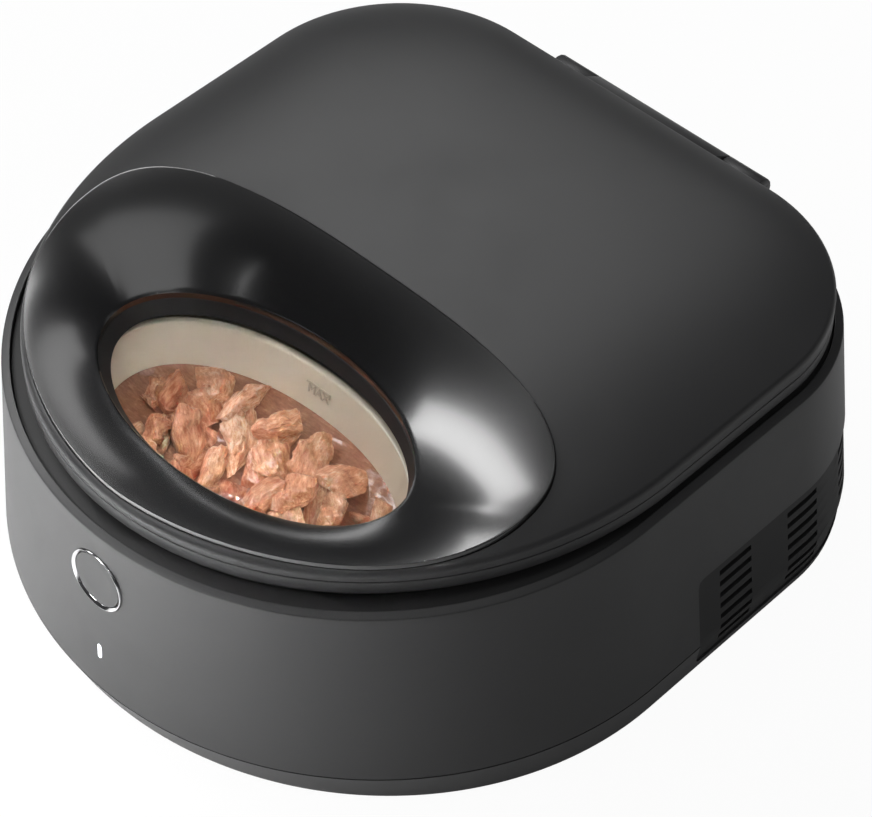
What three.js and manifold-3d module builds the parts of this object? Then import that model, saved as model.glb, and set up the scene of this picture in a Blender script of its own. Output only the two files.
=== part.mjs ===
// Automatic wet food feeder: three chilled bowls on a turning carrier under a hinged lid.
// Millimetres, +Z up, button side towards -Y. The origin is the centre of the footprint on the
// floor. Plans are drawn round the carrier's axis, and the group at the end moves them into place.
import * as THREE from 'three';
import { mergeVertices } from 'three/addons/utils/BufferGeometryUtils.js';
import Module from 'manifold-3d';

const wasm = await Module();
wasm.setup();

// Shared fits
const gap = 0.3;
const overrun = 6;
const wall = 2.8;

// Counts of steps along curves
const frontCount = 32;
const cornerCount = 8;
const ovalCount = 44;
const bowlCount = 36;
const roundCount = 40;
const smallCount = 20;
const pegCount = 16;

// Drive train under the tub: a gear on the spindle and a motor with its pinion
const toothModule = 2;
const gearTeeth = 40;
const pinionTeeth = 12;
const gearLowZ = 36;
const gearHeight = 6;
const addendumShare = 0.8;
const dedendumShare = 1.12;
const toothRootShare = 0.54;
const toothPitchShare = 0.4;
const toothTipShare = 0.2;
const pinionShaft = 3;
const motorRadius = 15;
const motorDrop = 3;
const motorTopZ = gearLowZ - motorDrop;
const spindleRadius = 8;
const spindleDrop = 6;
const spindleLowZ = gearLowZ - spindleDrop;
const postRadius = 11;
const postFlange = 14;
const postFlangeHigh = 4;
const postDrop = 1.4;
const postTopZ = gearLowZ - postDrop;

// Tub floor above the gear, and the bowl carrier above that floor
const tubWall = 2.2;
const tubFloor = 2.5;
const tubRise = 4;
const tubFloorZ = gearLowZ + gearHeight + tubRise;
const carrierThick = 4;
const carrierLip = 2;
const carrierLipWidth = 2.5;
const carrierRise = 2;
const carrierZ = tubFloorZ + tubFloor + carrierRise;
const carrierTopZ = carrierZ + carrierThick;

// Bowls: as close to the axis as their rims allow
const bowlTimes = 3;
const bowlHalf = 76;
const bowlDepth = 44;
const bowlHigh = 46.2;
const bowlPower = 2.1;
const bowlWall = 2.4;
const bowlRim = 3.6;
const bowlRimThick = 2.2;
const bowlTaper = 7;
const bowlFoot = 14;
const bowlKneeHigh = 9;
const bowlApart = 2.37;
const bowlTurn = Math.PI / bowlTimes;
const bowlDualPower = bowlPower / (bowlPower - 1);
const bowlSupport = (
  ((bowlHalf + bowlRim) * Math.cos(bowlTurn)) ** bowlDualPower
  + ((bowlDepth + bowlRim) * Math.sin(bowlTurn)) ** bowlDualPower
) ** (1 / bowlDualPower);
const bowlDistance = (bowlSupport + bowlApart) / Math.sin(bowlTurn);
const bowlLowZ = carrierTopZ + gap;
const bowlRimZ = bowlLowZ + bowlHigh;
const foodDrop = 17;
const foodZ = bowlRimZ - foodDrop;
const foodCrown = 3;
const foodCrownShare = 0.6;

// Tub round the bowls, the carrier's disc in it and the insulation round it
const bowlPlay = 11.7;
const tubInner = bowlDistance + bowlDepth + bowlRim + bowlPlay;
const tubRadius = tubInner + tubWall;
const carrierPlay = 4.3;
const carrierRadius = tubInner - carrierPlay;
const insulationThick = 9.5;
const insulationOuter = tubRadius + insulationThick;
const insulationRise = 4;
const insulationLow = tubFloorZ + insulationRise;

// Housing rim round the insulation, with the seam flared below it and the pan tucked in under the seam
const insulationPlay = 4.2;
const rimOver = 6.4;
const rimHalf = insulationOuter + insulationPlay + wall;
const rimFront = rimHalf;
const rimRearMore = 14;
const rimBack = rimHalf + rimRearMore;
const rimCorner = 72;
const rimZ = bowlRimZ + rimOver;
const seamFlare = 9;
const seamFlareFront = 6.3;
const seamFlareBack = 7;
const seamCornerMore = 4;
const seamHalf = rimHalf + seamFlare;
const seamFront = rimFront + seamFlareFront;
const seamBack = rimBack + seamFlareBack;
const seamCorner = rimCorner + seamCornerMore;
const seamZ = 19;
const panTuck = 2.3;
const panTuckFront = 6.7;
const panTuckBack = 2.5;
const panCornerLess = 2;
const panHalf = seamHalf - panTuck;
const panFront = seamFront - panTuckFront;
const panBack = seamBack - panTuckBack;
const panCorner = seamCorner - panCornerLess;
const panFloor = 2.5;

// Feet
const footHeight = 1.5;
const footRadius = 9;
const footSideInset = 44.7;
const footFrontInset = 62.6;
const footRearInset = 48.5;
const footSide = panHalf - footSideInset;
const footFront = panFront - footFrontInset;
const footRear = panBack - footRearInset;

// Bevelled ledge inside the rim and the deck inside the ledge
const bevelSide = 3.7;
const bevelFront = 3.3;
const bevelBack = 3.4;
const bevelCorner = 3;
const bevelHigh = 1.3;
const ledgeHalf = rimHalf - bevelSide;
const ledgeFront = rimFront - bevelFront;
const ledgeBack = rimBack - bevelBack;
const ledgeCorner = rimCorner - bevelCorner;
const ledgeZ = rimZ + bevelHigh;
const ledgeDepth = 6;
const deckDrop = 1.1;
const deckThick = 2.7;
const deckLap = 1.5;
const deckZ = rimZ - deckDrop;
const deckHole = tubRadius - deckLap;
const insulationDrop = 3.6;
const insulationHigh = deckZ - deckThick - insulationDrop;

// Lid
const lidInset = 0.1;
const lidFrontInset = 4.7;
const lidBackOver = 0.9;
const lidRise = 3.1;
const lidBand = 6.45;
const lidWaist = 15;
const lidSideRise = 3.75;
const lidSideTilt = 4;
const lidEdge = 2;
const lidDome = 15;
const domePower = 6;
const domeShares = [0.25, 0.5, 0.7, 0.82, 0.9, 0.96];
const domeUnderShares = [1, 0.9, 0.75, 0.5, 0.25];
const edgeStep = 0.3;
const lidHalf = ledgeHalf - lidInset;
const lidFront = ledgeFront - lidFrontInset;
const lidBack = ledgeBack + lidBackOver;
const lidCorner = rimCorner;
const lidZ = ledgeZ + lidRise;
const lidSeamZ = lidZ + lidBand;
const lidFloor = 2.5;
const crownZ = lidSeamZ + lidSideRise + lidSideTilt + lidDome;

// Oval opening over the front bowl, the scoop that falls to it and the collar under it
const openingWider = 0.8;
const openingShorter = 0.9;
const openingNearer = 4.8;
const openingRise = 3.4;
const openingHalf = bowlHalf + openingWider;
const openingDepth = bowlDepth - openingShorter;
const openingY = openingNearer - bowlDistance;
const openingZ = lidZ + openingRise;
const scoopBehind = 20.7;
const scoopSideInset = 20.7;
const scoopFrontInset = 2.3;
const scoopRearMore = 6.5;
const scoopMid = openingY + scoopBehind;
const scoopHalf = lidHalf - scoopSideInset;
const scoopRear = openingDepth + scoopRearMore;
const scoopFront = lidFront - scoopFrontInset + scoopMid;
const scoopRearPower = 2.7;
const scoopFrontPower = 1.82;
const scoopProud = 2.5;
const scoopWall = 3;
const funnelShares = [0, 0.14, 0.3, 0.5, 0.7, 0.86, 1];
const funnelUnderShares = [1, 0.7, 0.3, 0];
const funnelStartShare = 0.55;
const collarWall = 2.6;
const floorHoleMargin = 10;

// Lid lining, gasket and shutter
const liningPlay = 2;
const liningWall = 2.2;
const liningRadius = deckHole - liningPlay;
const liningZ = deckZ - gap;
const gasketInset = 4.8;
const gasketFrontInset = 3.4;
const gasketBackInset = 4.9;
const gasketCornerLess = 5;
const gasketHalf = lidHalf - gasketInset;
const gasketFront = lidFront - gasketFrontInset;
const gasketBack = lidBack - gasketBackInset;
const gasketCorner = lidCorner - gasketCornerLess;
const gasketWidth = 4;
const gasketPlay = 0.4;
const shutterPlay = 1;
const shutterThick = 1.4;
const shutterInset = 1;
const shutterRadius = liningRadius - shutterInset;
const shutterHub = 15;
const shutterShaft = 4;
const shutterHalfTurn = THREE.MathUtils.degToRad(61.5);
const shutterCount = 14;
const shutterMotorHalf = 14;
const shutterMotorFront = 5;
const shutterMotorRear = 35;
const shutterMotorHeight = 6.4;

// Hinge at the rear edge
const hingeReach = 3;
const hingeDrop = 1.4;
const hingeY = seamBack + hingeReach;
const hingeZ = rimZ - hingeDrop;
const barrelRadius = 6.8;
const knuckleHalf = 36.9;
const earWidth = 20.8;
const earInner = knuckleHalf + gap;
const earOuter = earInner + earWidth;
const earDrop = 12;
const earRise = 1;
const armReach = 5.5;
const pinRadius = 2;
const pinPlay = 0.35;
const barrelStep = THREE.MathUtils.degToRad(22.5);

// Button and status light in the front wall
const buttonZ = 82;
const ringRadius = 13.9;
const ringWidth = 1.4;
const ringProud = 0.7;
const ringDepth = 6;
const ringBack = 1.4;
const capSunk = 0.1;
const capThick = 2.6;
const lightZ = 41.3;
const lightHalf = 1;
const lightReach = 3.8;
const lightProud = 0.15;

// Side vents, from the straight side round into the rear corner
const ventFrontY = 26;
const ventLowZ = 7;
const ventHighZ = 56;
const ventTurn = THREE.MathUtils.degToRad(50);
const ventSunk = 0.8;
const ventBorder = 3.2;
const ventRib = 3;
const slotPitch = 6.3;
const slotHeight = 2.9;
const ventCount = 5;

// Chiller in the right rear corner: block, thermoelectric module, heat sink and fan
const chillerRise = 20;
const chillerZ = tubFloorZ + chillerRise;
const moduleHalf = 20;
const blockDepth = 10.6;
const moduleDepth = 3.8;
const sinkHalf = 25;
const sinkBase = 4.6;
const finLength = 15;
const finThick = 1.8;
const finCount = 7;
const fanDepth = 10;
const fanWall = 1.6;
const fanBore = sinkHalf - fanWall;
const bladePlay = 1.2;
const bladeTip = fanBore - bladePlay;
const fanHub = 9;
const fanSpoke = 1.5;
const fanSpokeHalf = 1.2;
const spokeCount = 3;
const bladeChord = 7;
const bladeThick = 1.2;
const bladeCount = 7;
const bladeTilt = THREE.MathUtils.degToRad(42);

// Control board on posts and the power inlet
const boardSideInset = 59.7;
const boardRearInset = 68.5;
const boardX = boardSideInset - panHalf;
const boardY = panBack - boardRearInset;
const boardLength = 70;
const boardWidth = 46;
const boardThick = 1.6;
const boardPost = 3;
const boardPostHigh = 5;
const boardPostInset = 5;
const chipHalf = 8;
const chipHigh = 2.4;
const plugLength = 16;
const plugWidth = 7;
const plugHigh = 6;
const inletX = -60;
const inletZ = 10.6;
const inletRadius = 5;
const inletBore = 3.2;
const inletPin = 1;
const inletProud = 0.6;
const inletLength = 12;
const inletFloor = 3;

// Geometry helpers
function facingOut(geometry) {
  const at = geometry.getAttribute('position');
  const index = geometry.index.array;
  const a = new THREE.Vector3();
  const b = new THREE.Vector3();
  const c = new THREE.Vector3();
  let volume = 0;
  for (let i = 0; i < index.length; i += 3) {
    a.fromBufferAttribute(at, index[i]);
    b.fromBufferAttribute(at, index[i + 1]);
    c.fromBufferAttribute(at, index[i + 2]);
    volume += a.dot(b.cross(c));
  }
  if (volume < 0) {
    for (let i = 0; i < index.length; i += 3) {
      const first = index[i];
      index[i] = index[i + 2];
      index[i + 2] = first;
    }
  }
  return geometry;
}

// Skins rings of equally many points. A loop joins the last ring to the first.
function loft(rings, loop) {
  const count = rings[0].length;
  const positions = [];
  const index = [];
  rings.forEach((ring) => ring.forEach((p) => positions.push(p.x, p.y, p.z)));
  const bands = loop ? rings.length : rings.length - 1;
  for (let r = 0; r < bands; r += 1) {
    const low = r * count;
    const high = ((r + 1) % rings.length) * count;
    for (let i = 0; i < count; i += 1) {
      const j = (i + 1) % count;
      index.push(low + i, low + j, high + j, low + i, high + j, high + i);
    }
  }
  if (!loop) {
    [0, rings.length - 1].forEach((r) => {
      const centre = new THREE.Vector3();
      rings[r].forEach((p) => centre.add(p));
      centre.divideScalar(count);
      const hub = positions.length / 3;
      positions.push(centre.x, centre.y, centre.z);
      for (let i = 0; i < count; i += 1) {
        const one = r * count + i;
        const two = r * count + ((i + 1) % count);
        index.push(hub, r === 0 ? two : one, r === 0 ? one : two);
      }
    });
  }
  const geometry = new THREE.BufferGeometry();
  geometry.setAttribute('position', new THREE.Float32BufferAttribute(positions, 3));
  geometry.setIndex(new THREE.Uint32BufferAttribute(index, 1));
  return facingOut(geometry);
}

function solidOf(geometry) {
  const bare = geometry.clone();
  Object.keys(bare.attributes).forEach((name) => {
    if (name !== 'position') bare.deleteAttribute(name);
  });
  const merged = mergeVertices(bare);
  return new wasm.Manifold(new wasm.Mesh({
    numProp: 3,
    vertProperties: Float32Array.from(merged.getAttribute('position').array),
    triVerts: Uint32Array.from(merged.index.array),
  }));
}

function geometryOf(solid) {
  const mesh = solid.getMesh();
  const geometry = new THREE.BufferGeometry();
  geometry.setAttribute('position', new THREE.BufferAttribute(Float32Array.from(mesh.vertProperties), 3));
  geometry.setIndex(new THREE.BufferAttribute(Uint32Array.from(mesh.triVerts), 1));
  return geometry;
}

function carve(geometry, cutters) {
  return geometryOf(cutters.reduce((left, cutter) => left.subtract(solidOf(cutter)), solidOf(geometry)));
}

function weld(geometries) {
  return geometryOf(geometries.slice(1).reduce((sum, one) => sum.add(solidOf(one)), solidOf(geometries[0])));
}

function lathed(profile, count) {
  const points = profile.map(([r, z]) => new THREE.Vector2(r, z));
  return new THREE.LatheGeometry(points, count).rotateX(Math.PI / 2);
}

// A closed profile that doesn't touch the axis
function lathedRing(profile, count) {
  return lathed([...profile, profile[0]], count);
}

function box(fromX, toX, fromY, toY, fromZ, toZ) {
  const shape = new THREE.BoxGeometry(toX - fromX, toY - fromY, toZ - fromZ);
  return shape.translate((fromX + toX) / 2, (fromY + toY) / 2, (fromZ + toZ) / 2);
}

function peg(radius, fromZ, toZ, count) {
  return lathed([[0, fromZ], [radius, fromZ], [radius, toZ], [0, toZ]], count);
}

function extruded(outline, holes, fromZ, toZ) {
  const shape = new THREE.Shape(outline);
  holes.forEach((hole) => shape.holes.push(new THREE.Path(hole)));
  const geometry = new THREE.ExtrudeGeometry(shape, { depth: toZ - fromZ, bevelEnabled: false });
  return geometry.translate(0, 0, fromZ);
}

function circle(radius, count) {
  const points = [];
  for (let i = 0; i < count; i += 1) {
    const turn = (2 * Math.PI * i) / count;
    points.push(new THREE.Vector2(radius * Math.cos(turn), radius * Math.sin(turn)));
  }
  return points;
}

function ellipseRing(halfX, halfY, midY, z, count) {
  return circle(1, count).map((p) => new THREE.Vector3(halfX * p.x, midY + halfY * p.y, z));
}

// A profile drawn in (y, z) and run along x
const acrossX = new THREE.Matrix4().makeBasis(
  new THREE.Vector3(0, 1, 0),
  new THREE.Vector3(0, 0, 1),
  new THREE.Vector3(1, 0, 0),
);

// Plans: straight sides to the waist, a half ellipse in front of it and round rear corners
const panPlan = { half: panHalf, front: panFront, back: panBack, corner: panCorner };
const seamPlan = { half: seamHalf, front: seamFront, back: seamBack, corner: seamCorner };
const rimPlan = { half: rimHalf, front: rimFront, back: rimBack, corner: rimCorner };
const ledgePlan = { half: ledgeHalf, front: ledgeFront, back: ledgeBack, corner: ledgeCorner };
const lidPlan = { half: lidHalf, front: lidFront, back: lidBack, corner: lidCorner, waist: lidWaist };
const gasketPlan = {
  half: gasketHalf, front: gasketFront, back: gasketBack, corner: gasketCorner, waist: lidWaist,
};

function inset(plan, by) {
  return {
    half: plan.half - by,
    front: plan.front - by,
    back: plan.back - by,
    corner: plan.corner - by,
    waist: plan.waist,
  };
}

function between(low, high, share) {
  const mix = (name) => THREE.MathUtils.lerp(low[name], high[name], share);
  return { half: mix('half'), front: mix('front'), back: mix('back'), corner: mix('corner') };
}

function cornerSpot(plan, turn) {
  return new THREE.Vector2(
    plan.half - plan.corner + plan.corner * Math.cos(turn),
    plan.back - plan.corner + plan.corner * Math.sin(turn),
  );
}

function outline(plan) {
  const points = [];
  const waist = plan.waist ?? 0;
  for (let i = 0; i <= frontCount; i += 1) {
    const turn = (Math.PI * i) / frontCount;
    const y = waist - (plan.front + waist) * Math.sin(turn);
    points.push(new THREE.Vector2(-plan.half * Math.cos(turn), y));
  }
  const corner = [];
  for (let i = 0; i <= cornerCount; i += 1) {
    corner.push(cornerSpot(plan, (Math.PI / 2) * (i / cornerCount)));
  }
  points.push(...corner, new THREE.Vector2(0, plan.back));
  points.push(...corner.reverse().map((p) => new THREE.Vector2(-p.x, p.y)));
  return points;
}

function ringAt(plan, z) {
  return outline(plan).map((p) => new THREE.Vector3(p.x, p.y, z));
}

const panZ = footHeight + gap;
const panTopZ = seamZ - gap / 2;
const housingLowZ = seamZ + gap / 2;

function planAt(z) {
  if (z < seamZ) return between(panPlan, seamPlan, (z - panZ) / (seamZ - panZ));
  return between(seamPlan, rimPlan, (z - seamZ) / (rimZ - seamZ));
}

// Side wall slab from the straight side at startY round the rear corner to endTurn
function wallSlab(startY, midY, endTurn, levels, outer, inner, side) {
  const spots = [];
  const arcStart = endTurn > 0;
  const last = arcStart ? ventCount : 0;
  const spotOn = (k, z, depth) => {
    const plan = inset(planAt(z), depth);
    if (k === 0) return new THREE.Vector2(plan.half, startY);
    if (k === 1 && !arcStart) return new THREE.Vector2(plan.half, midY);
    return cornerSpot(plan, (endTurn * (k - 1)) / last);
  };
  for (let k = 0; k <= last + 1; k += 1) {
    const out = levels.map((z) => ({ p: spotOn(k, z, outer), z }));
    const into = [...levels].reverse().map((z) => ({ p: spotOn(k, z, inner), z }));
    spots.push([...out, ...into].map(({ p, z }) => new THREE.Vector3(side * p.x, p.y, z)));
  }
  return loft(spots, false);
}

// Rear corner slab alone, between two turns of the corner arc
function cornerSlab(startTurn, endTurn, levels, outer, inner, side) {
  const rings = [];
  for (let k = 0; k < ventCount; k += 1) {
    const turn = THREE.MathUtils.lerp(startTurn, endTurn, k / (ventCount - 1));
    const out = levels.map((z) => ({ p: cornerSpot(inset(planAt(z), outer), turn), z }));
    const back = [...levels].reverse();
    const into = back.map((z) => ({ p: cornerSpot(inset(planAt(z), inner), turn), z }));
    rings.push([...out, ...into].map(({ p, z }) => new THREE.Vector3(side * p.x, p.y, z)));
  }
  return loft(rings, false);
}

// Front wall frame: local +Z points out of the wall
const frontTilt = Math.atan((seamFront - rimFront) / (rimZ - seamZ));
function frontFrame(z) {
  const frame = new THREE.Group();
  frame.position.set(0, -planAt(z).front, z);
  frame.rotation.x = Math.PI / 2 - frontTilt;
  frame.updateMatrix();
  return frame;
}
const buttonFrame = frontFrame(buttonZ);
const lightFrame = frontFrame(lightZ);

// Object list
const axisY = (seamFront - (hingeY + barrelRadius)) / 2;
const feeder = new THREE.Group();
const stand = new THREE.Group();
stand.position.y = axisY;
feeder.add(stand);

const charcoal = { color: 0x3a3a3b, roughness: 0.5, metalness: 0 };
const glossBlack = { color: 0x141416, roughness: 0.18, metalness: 0 };
const softBlack = { color: 0x1b1b1c, roughness: 0.7, metalness: 0 };
const chrome = { color: 0xb8b8ba, roughness: 0.2, metalness: 1 };
const lit = { color: 0xf4f6ff, roughness: 0.4, metalness: 0 };
const cream = { color: 0xe6dcc6, roughness: 0.35, metalness: 0 };
const paleGrey = { color: 0xc9cac8, roughness: 0.5, metalness: 0 };
const foam = { color: 0xdedfdc, roughness: 0.95, metalness: 0 };
const steel = { color: 0x9a9da0, roughness: 0.35, metalness: 1 };
const aluminium = { color: 0xb4b7ba, roughness: 0.4, metalness: 1 };
const meat = { color: 0xb98767, roughness: 0.35, metalness: 0 };
const acetal = { color: 0xe9e9e4, roughness: 0.45, metalness: 0 };
const boardGreen = { color: 0x2c5a3c, roughness: 0.6, metalness: 0 };
const ceramic = { color: 0xefefec, roughness: 0.6, metalness: 0 };

function piece(name, geometry, look, parent = stand) {
  const mesh = new THREE.Mesh(geometry, new THREE.MeshStandardMaterial(look));
  mesh.name = name;
  parent.add(mesh);
  return mesh;
}

// Feet
[['left', -1], ['right', 1]].forEach(([word, side]) => {
  piece(`foot_front_${word}`, peg(footRadius, 0, footHeight, pegCount), softBlack)
    .position.set(side * footSide, -footFront, 0);
  piece(`foot_rear_${word}`, peg(footRadius, 0, footHeight, pegCount), softBlack)
    .position.set(side * footSide, footRear, 0);
});

// Vent windows, shared by the pan and the housing, and the grilles that fill them
const arcGap = gap / rimCorner;
const ventBorderTurn = ventBorder / rimCorner;
const ventRibTurn = ventRib / rimCorner;
const ventLevels = [ventLowZ, seamZ, ventHighZ];
const windowLevels = [ventLowZ - gap, seamZ, ventHighZ + gap];
const slotRows = Math.floor((ventHighZ - ventLowZ - ventBorder) / slotPitch);
const ventWindows = [];
[['left', -1], ['right', 1]].forEach(([word, side]) => {
  ventWindows.push(
    wallSlab(ventFrontY - gap, 0, ventTurn + arcGap, windowLevels, -overrun, wall + overrun, side),
  );
  const plate = wallSlab(ventFrontY, 0, ventTurn, ventLevels, ventSunk, wall, side);
  const slots = [];
  for (let row = 0; row < slotRows; row += 1) {
    const low = ventLowZ + ventBorder + row * slotPitch;
    const rowLevels = [low, low + slotHeight];
    const rowPlan = planAt(low);
    const ribY = rowPlan.back - rowPlan.corner;
    const slotFrom = ventFrontY + ventBorder;
    slots.push(
      wallSlab(slotFrom, ribY - ventRib, 0, rowLevels, -overrun, wall + overrun, side),
      cornerSlab(ventRibTurn, ventTurn - ventBorderTurn, rowLevels, -overrun, wall + overrun, side),
    );
  }
  piece(`vent_grille_${word}`, carve(plate, slots), softBlack);
});

// Base pan: floor, walls and the posts of the control board
const inletFrame = new THREE.Group();
inletFrame.position.set(inletX, planAt(inletZ).back, inletZ);
inletFrame.rotation.x = -Math.PI / 2 - Math.atan((seamBack - panBack) / (seamZ - panZ));
inletFrame.updateMatrix();
const inletHole = peg(inletRadius + gap, -overrun, overrun, smallCount).applyMatrix4(inletFrame.matrix);
const panInnerZ = panZ + panFloor;
const boardSpots = [-1, 1].flatMap((sx) => [-1, 1].map((sy) => [
  boardX + sx * (boardLength / 2 - boardPostInset),
  boardY + sy * (boardWidth / 2 - boardPostInset),
]));
const panBody = loft([
  ringAt(panPlan, panZ),
  ringAt(planAt(panTopZ), panTopZ),
  ringAt(inset(planAt(panTopZ), wall), panTopZ),
  ringAt(inset(planAt(panInnerZ), wall), panInnerZ),
], false);
const boardPosts = boardSpots.map(([x, y]) => (
  peg(boardPost, panZ + panFloor / 2, panInnerZ + boardPostHigh, pegCount).translate(x, y, 0)
));
piece('base_pan', carve(weld([panBody, ...boardPosts]), [...ventWindows, inletHole]), charcoal);

// Housing with its bevelled ledge
const buttonHole = peg(ringRadius + gap, -wall - overrun, overrun, roundCount)
  .applyMatrix4(buttonFrame.matrix);
function stadium(half, reach) {
  const points = [];
  const straight = reach - half;
  for (let i = 0; i < pegCount; i += 1) {
    const turn = (2 * Math.PI * (i + 1 / 2)) / pegCount;
    const rise = Math.sign(Math.sin(turn)) * straight;
    points.push(new THREE.Vector2(half * Math.cos(turn), rise + half * Math.sin(turn)));
  }
  return points;
}
const lightHole = extruded(stadium(lightHalf + gap, lightReach + gap), [], -wall - overrun, overrun)
  .applyMatrix4(lightFrame.matrix);
const ledgeLowZ = rimZ - ledgeDepth;
const housingBody = loft([
  ringAt(planAt(housingLowZ), housingLowZ),
  ringAt(rimPlan, rimZ),
  ringAt(ledgePlan, ledgeZ),
  ringAt(ledgePlan, ledgeLowZ),
  ringAt(inset(planAt(ledgeLowZ - wall), wall), ledgeLowZ - wall),
  ringAt(inset(planAt(housingLowZ), wall), housingLowZ),
], true);
piece('housing', carve(housingBody, [...ventWindows, buttonHole, lightHole]), charcoal);

// Deck between the ledge and the tub
const deckPlan = inset(ledgePlan, gap);
const deckLowZ = deckZ - deckThick;
piece(
  'deck_ring',
  extruded(outline(deckPlan), [circle(deckHole, roundCount)], deckLowZ, deckZ),
  softBlack,
);

// Chilled tub hung under the deck, and the foam round it
const tubTopZ = deckLowZ - gap;
const tubFloorTop = tubFloorZ + tubFloor;
const tubHole = spindleRadius + gap * 2;
piece('chamber_tub', lathedRing([
  [tubHole, tubFloorZ],
  [tubRadius, tubFloorZ],
  [tubRadius, tubTopZ],
  [tubInner, tubTopZ],
  [tubInner, tubFloorTop],
  [tubHole, tubFloorTop],
], roundCount), paleGrey);

// Chiller frame: local +X runs outwards into the right rear corner
const chiller = new THREE.Group();
chiller.rotation.z = Math.atan2(rimBack - rimCorner, rimHalf - rimCorner);
chiller.position.z = chillerZ;
chiller.updateMatrix();
stand.add(chiller);
const blockFrom = tubRadius + gap;
const blockTo = blockFrom + blockDepth;
const moduleFrom = blockTo + gap;
const moduleTo = moduleFrom + moduleDepth;
const sinkFrom = moduleTo + gap;
const sinkTo = sinkFrom + sinkBase + finLength;
const fanFrom = sinkTo + gap;
const fanTo = fanFrom + fanDepth;
const insulationWindow = box(
  tubInner,
  insulationOuter + overrun,
  -moduleHalf - gap,
  moduleHalf + gap,
  -moduleHalf - gap,
  moduleHalf + gap,
).applyMatrix4(chiller.matrix);
piece('insulation', carve(lathedRing([
  [tubRadius + gap, insulationLow],
  [insulationOuter, insulationLow],
  [insulationOuter, insulationHigh],
  [tubRadius + gap, insulationHigh],
], roundCount), [insulationWindow]), foam);
piece(
  'cold_block',
  box(blockFrom, blockTo, -moduleHalf, moduleHalf, -moduleHalf, moduleHalf),
  aluminium,
  chiller,
);
piece(
  'peltier_module',
  box(moduleFrom, moduleTo, -moduleHalf, moduleHalf, -moduleHalf, moduleHalf),
  ceramic,
  chiller,
);
const comb = [new THREE.Vector2(sinkFrom, -sinkHalf), new THREE.Vector2(sinkFrom, sinkHalf)];
const finPitch = (2 * sinkHalf - finThick) / (finCount - 1);
for (let i = finCount - 1; i >= 0; i -= 1) {
  const low = -sinkHalf + i * finPitch;
  const root = sinkFrom + sinkBase;
  if (i < finCount - 1) comb.push(new THREE.Vector2(root, low + finThick));
  comb.push(new THREE.Vector2(sinkTo, low + finThick), new THREE.Vector2(sinkTo, low));
  if (i > 0) comb.push(new THREE.Vector2(root, low));
}
piece('heat_sink', extruded(comb.reverse(), [], -sinkHalf, sinkHalf), aluminium, chiller);

const squareCorners = [[-1, -1], [1, -1], [1, 1], [-1, 1]];
const frameSquare = squareCorners.map(([y, z]) => new THREE.Vector2(y * sinkHalf, z * sinkHalf));
const spokeFrom = fanTo - fanSpoke;
const fanParts = [
  extruded(frameSquare, [circle(fanBore, roundCount)], fanFrom, fanTo),
  extruded(circle(fanHub, smallCount), [], spokeFrom, fanTo),
];
for (let i = 0; i < spokeCount; i += 1) {
  const spoke = box(0, fanBore + fanSpoke, -fanSpokeHalf, fanSpokeHalf, spokeFrom, fanTo);
  fanParts.push(spoke.rotateZ((2 * Math.PI * i) / spokeCount));
}
piece('fan_frame', weld(fanParts).applyMatrix4(acrossX), softBlack, chiller);
const rotorFrom = fanFrom + gap * 2;
const rotorTo = spokeFrom - gap;
const rotorParts = [extruded(circle(fanHub, smallCount), [], rotorFrom, rotorTo)];
for (let i = 0; i < bladeCount; i += 1) {
  const blade = box(
    fanHub - bladeThick,
    bladeTip,
    -bladeThick / 2,
    bladeThick / 2,
    -bladeChord / 2,
    bladeChord / 2,
  );
  blade.rotateX(bladeTilt).rotateZ((2 * Math.PI * i) / bladeCount);
  rotorParts.push(blade.translate(0, 0, (rotorFrom + rotorTo) / 2));
}
piece('fan_rotor', weld(rotorParts).applyMatrix4(acrossX), softBlack, chiller);

// Spindle post, carrier, gear train and motor
piece('spindle_post', lathed([
  [0, panInnerZ + gap],
  [postFlange, panInnerZ + gap],
  [postFlange, panInnerZ + postFlangeHigh],
  [postRadius, panInnerZ + postFlangeHigh],
  [postRadius, postTopZ],
  [spindleRadius + gap, postTopZ],
  [spindleRadius + gap, spindleLowZ - gap],
  [0, spindleLowZ - gap],
], smallCount), softBlack);
piece('bowl_carrier', lathed([
  [0, spindleLowZ],
  [spindleRadius, spindleLowZ],
  [spindleRadius, carrierZ],
  [carrierRadius, carrierZ],
  [carrierRadius, carrierTopZ + carrierLip],
  [carrierRadius - carrierLipWidth, carrierTopZ + carrierLip],
  [carrierRadius - carrierLipWidth, carrierTopZ],
  [0, carrierTopZ],
], roundCount), paleGrey);

function gearOutline(teeth, startTurn) {
  const pitchRadius = (toothModule * teeth) / 2;
  const tip = pitchRadius + addendumShare * toothModule;
  const root = pitchRadius - dedendumShare * toothModule;
  const step = (2 * Math.PI) / teeth;
  const rows = [
    [root, -toothRootShare], [pitchRadius, -toothPitchShare], [tip, -toothTipShare],
    [tip, toothTipShare], [pitchRadius, toothPitchShare], [root, toothRootShare],
  ];
  const points = [];
  for (let i = 0; i < teeth; i += 1) {
    rows.forEach(([radius, share]) => {
      const turn = startTurn + i * step + (share * step) / 2;
      points.push(new THREE.Vector2(radius * Math.cos(turn), radius * Math.sin(turn)));
    });
  }
  return points;
}
const gearTopZ = gearLowZ + gearHeight;
piece(
  'drive_gear',
  extruded(gearOutline(gearTeeth, 0), [circle(spindleRadius + gap, smallCount)], gearLowZ, gearTopZ),
  acetal,
);
const motorX = -(toothModule * (gearTeeth + pinionTeeth)) / 2;
const pinion = weld([
  extruded(gearOutline(pinionTeeth, Math.PI / pinionTeeth), [], gearLowZ, gearTopZ),
  peg(pinionShaft, motorTopZ + gap, gearTopZ, pegCount),
]);
piece('motor_pinion', pinion, acetal).position.x = motorX;
piece('gear_motor', peg(motorRadius, panInnerZ + gap, motorTopZ, smallCount), steel).position.x = motorX;

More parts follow.
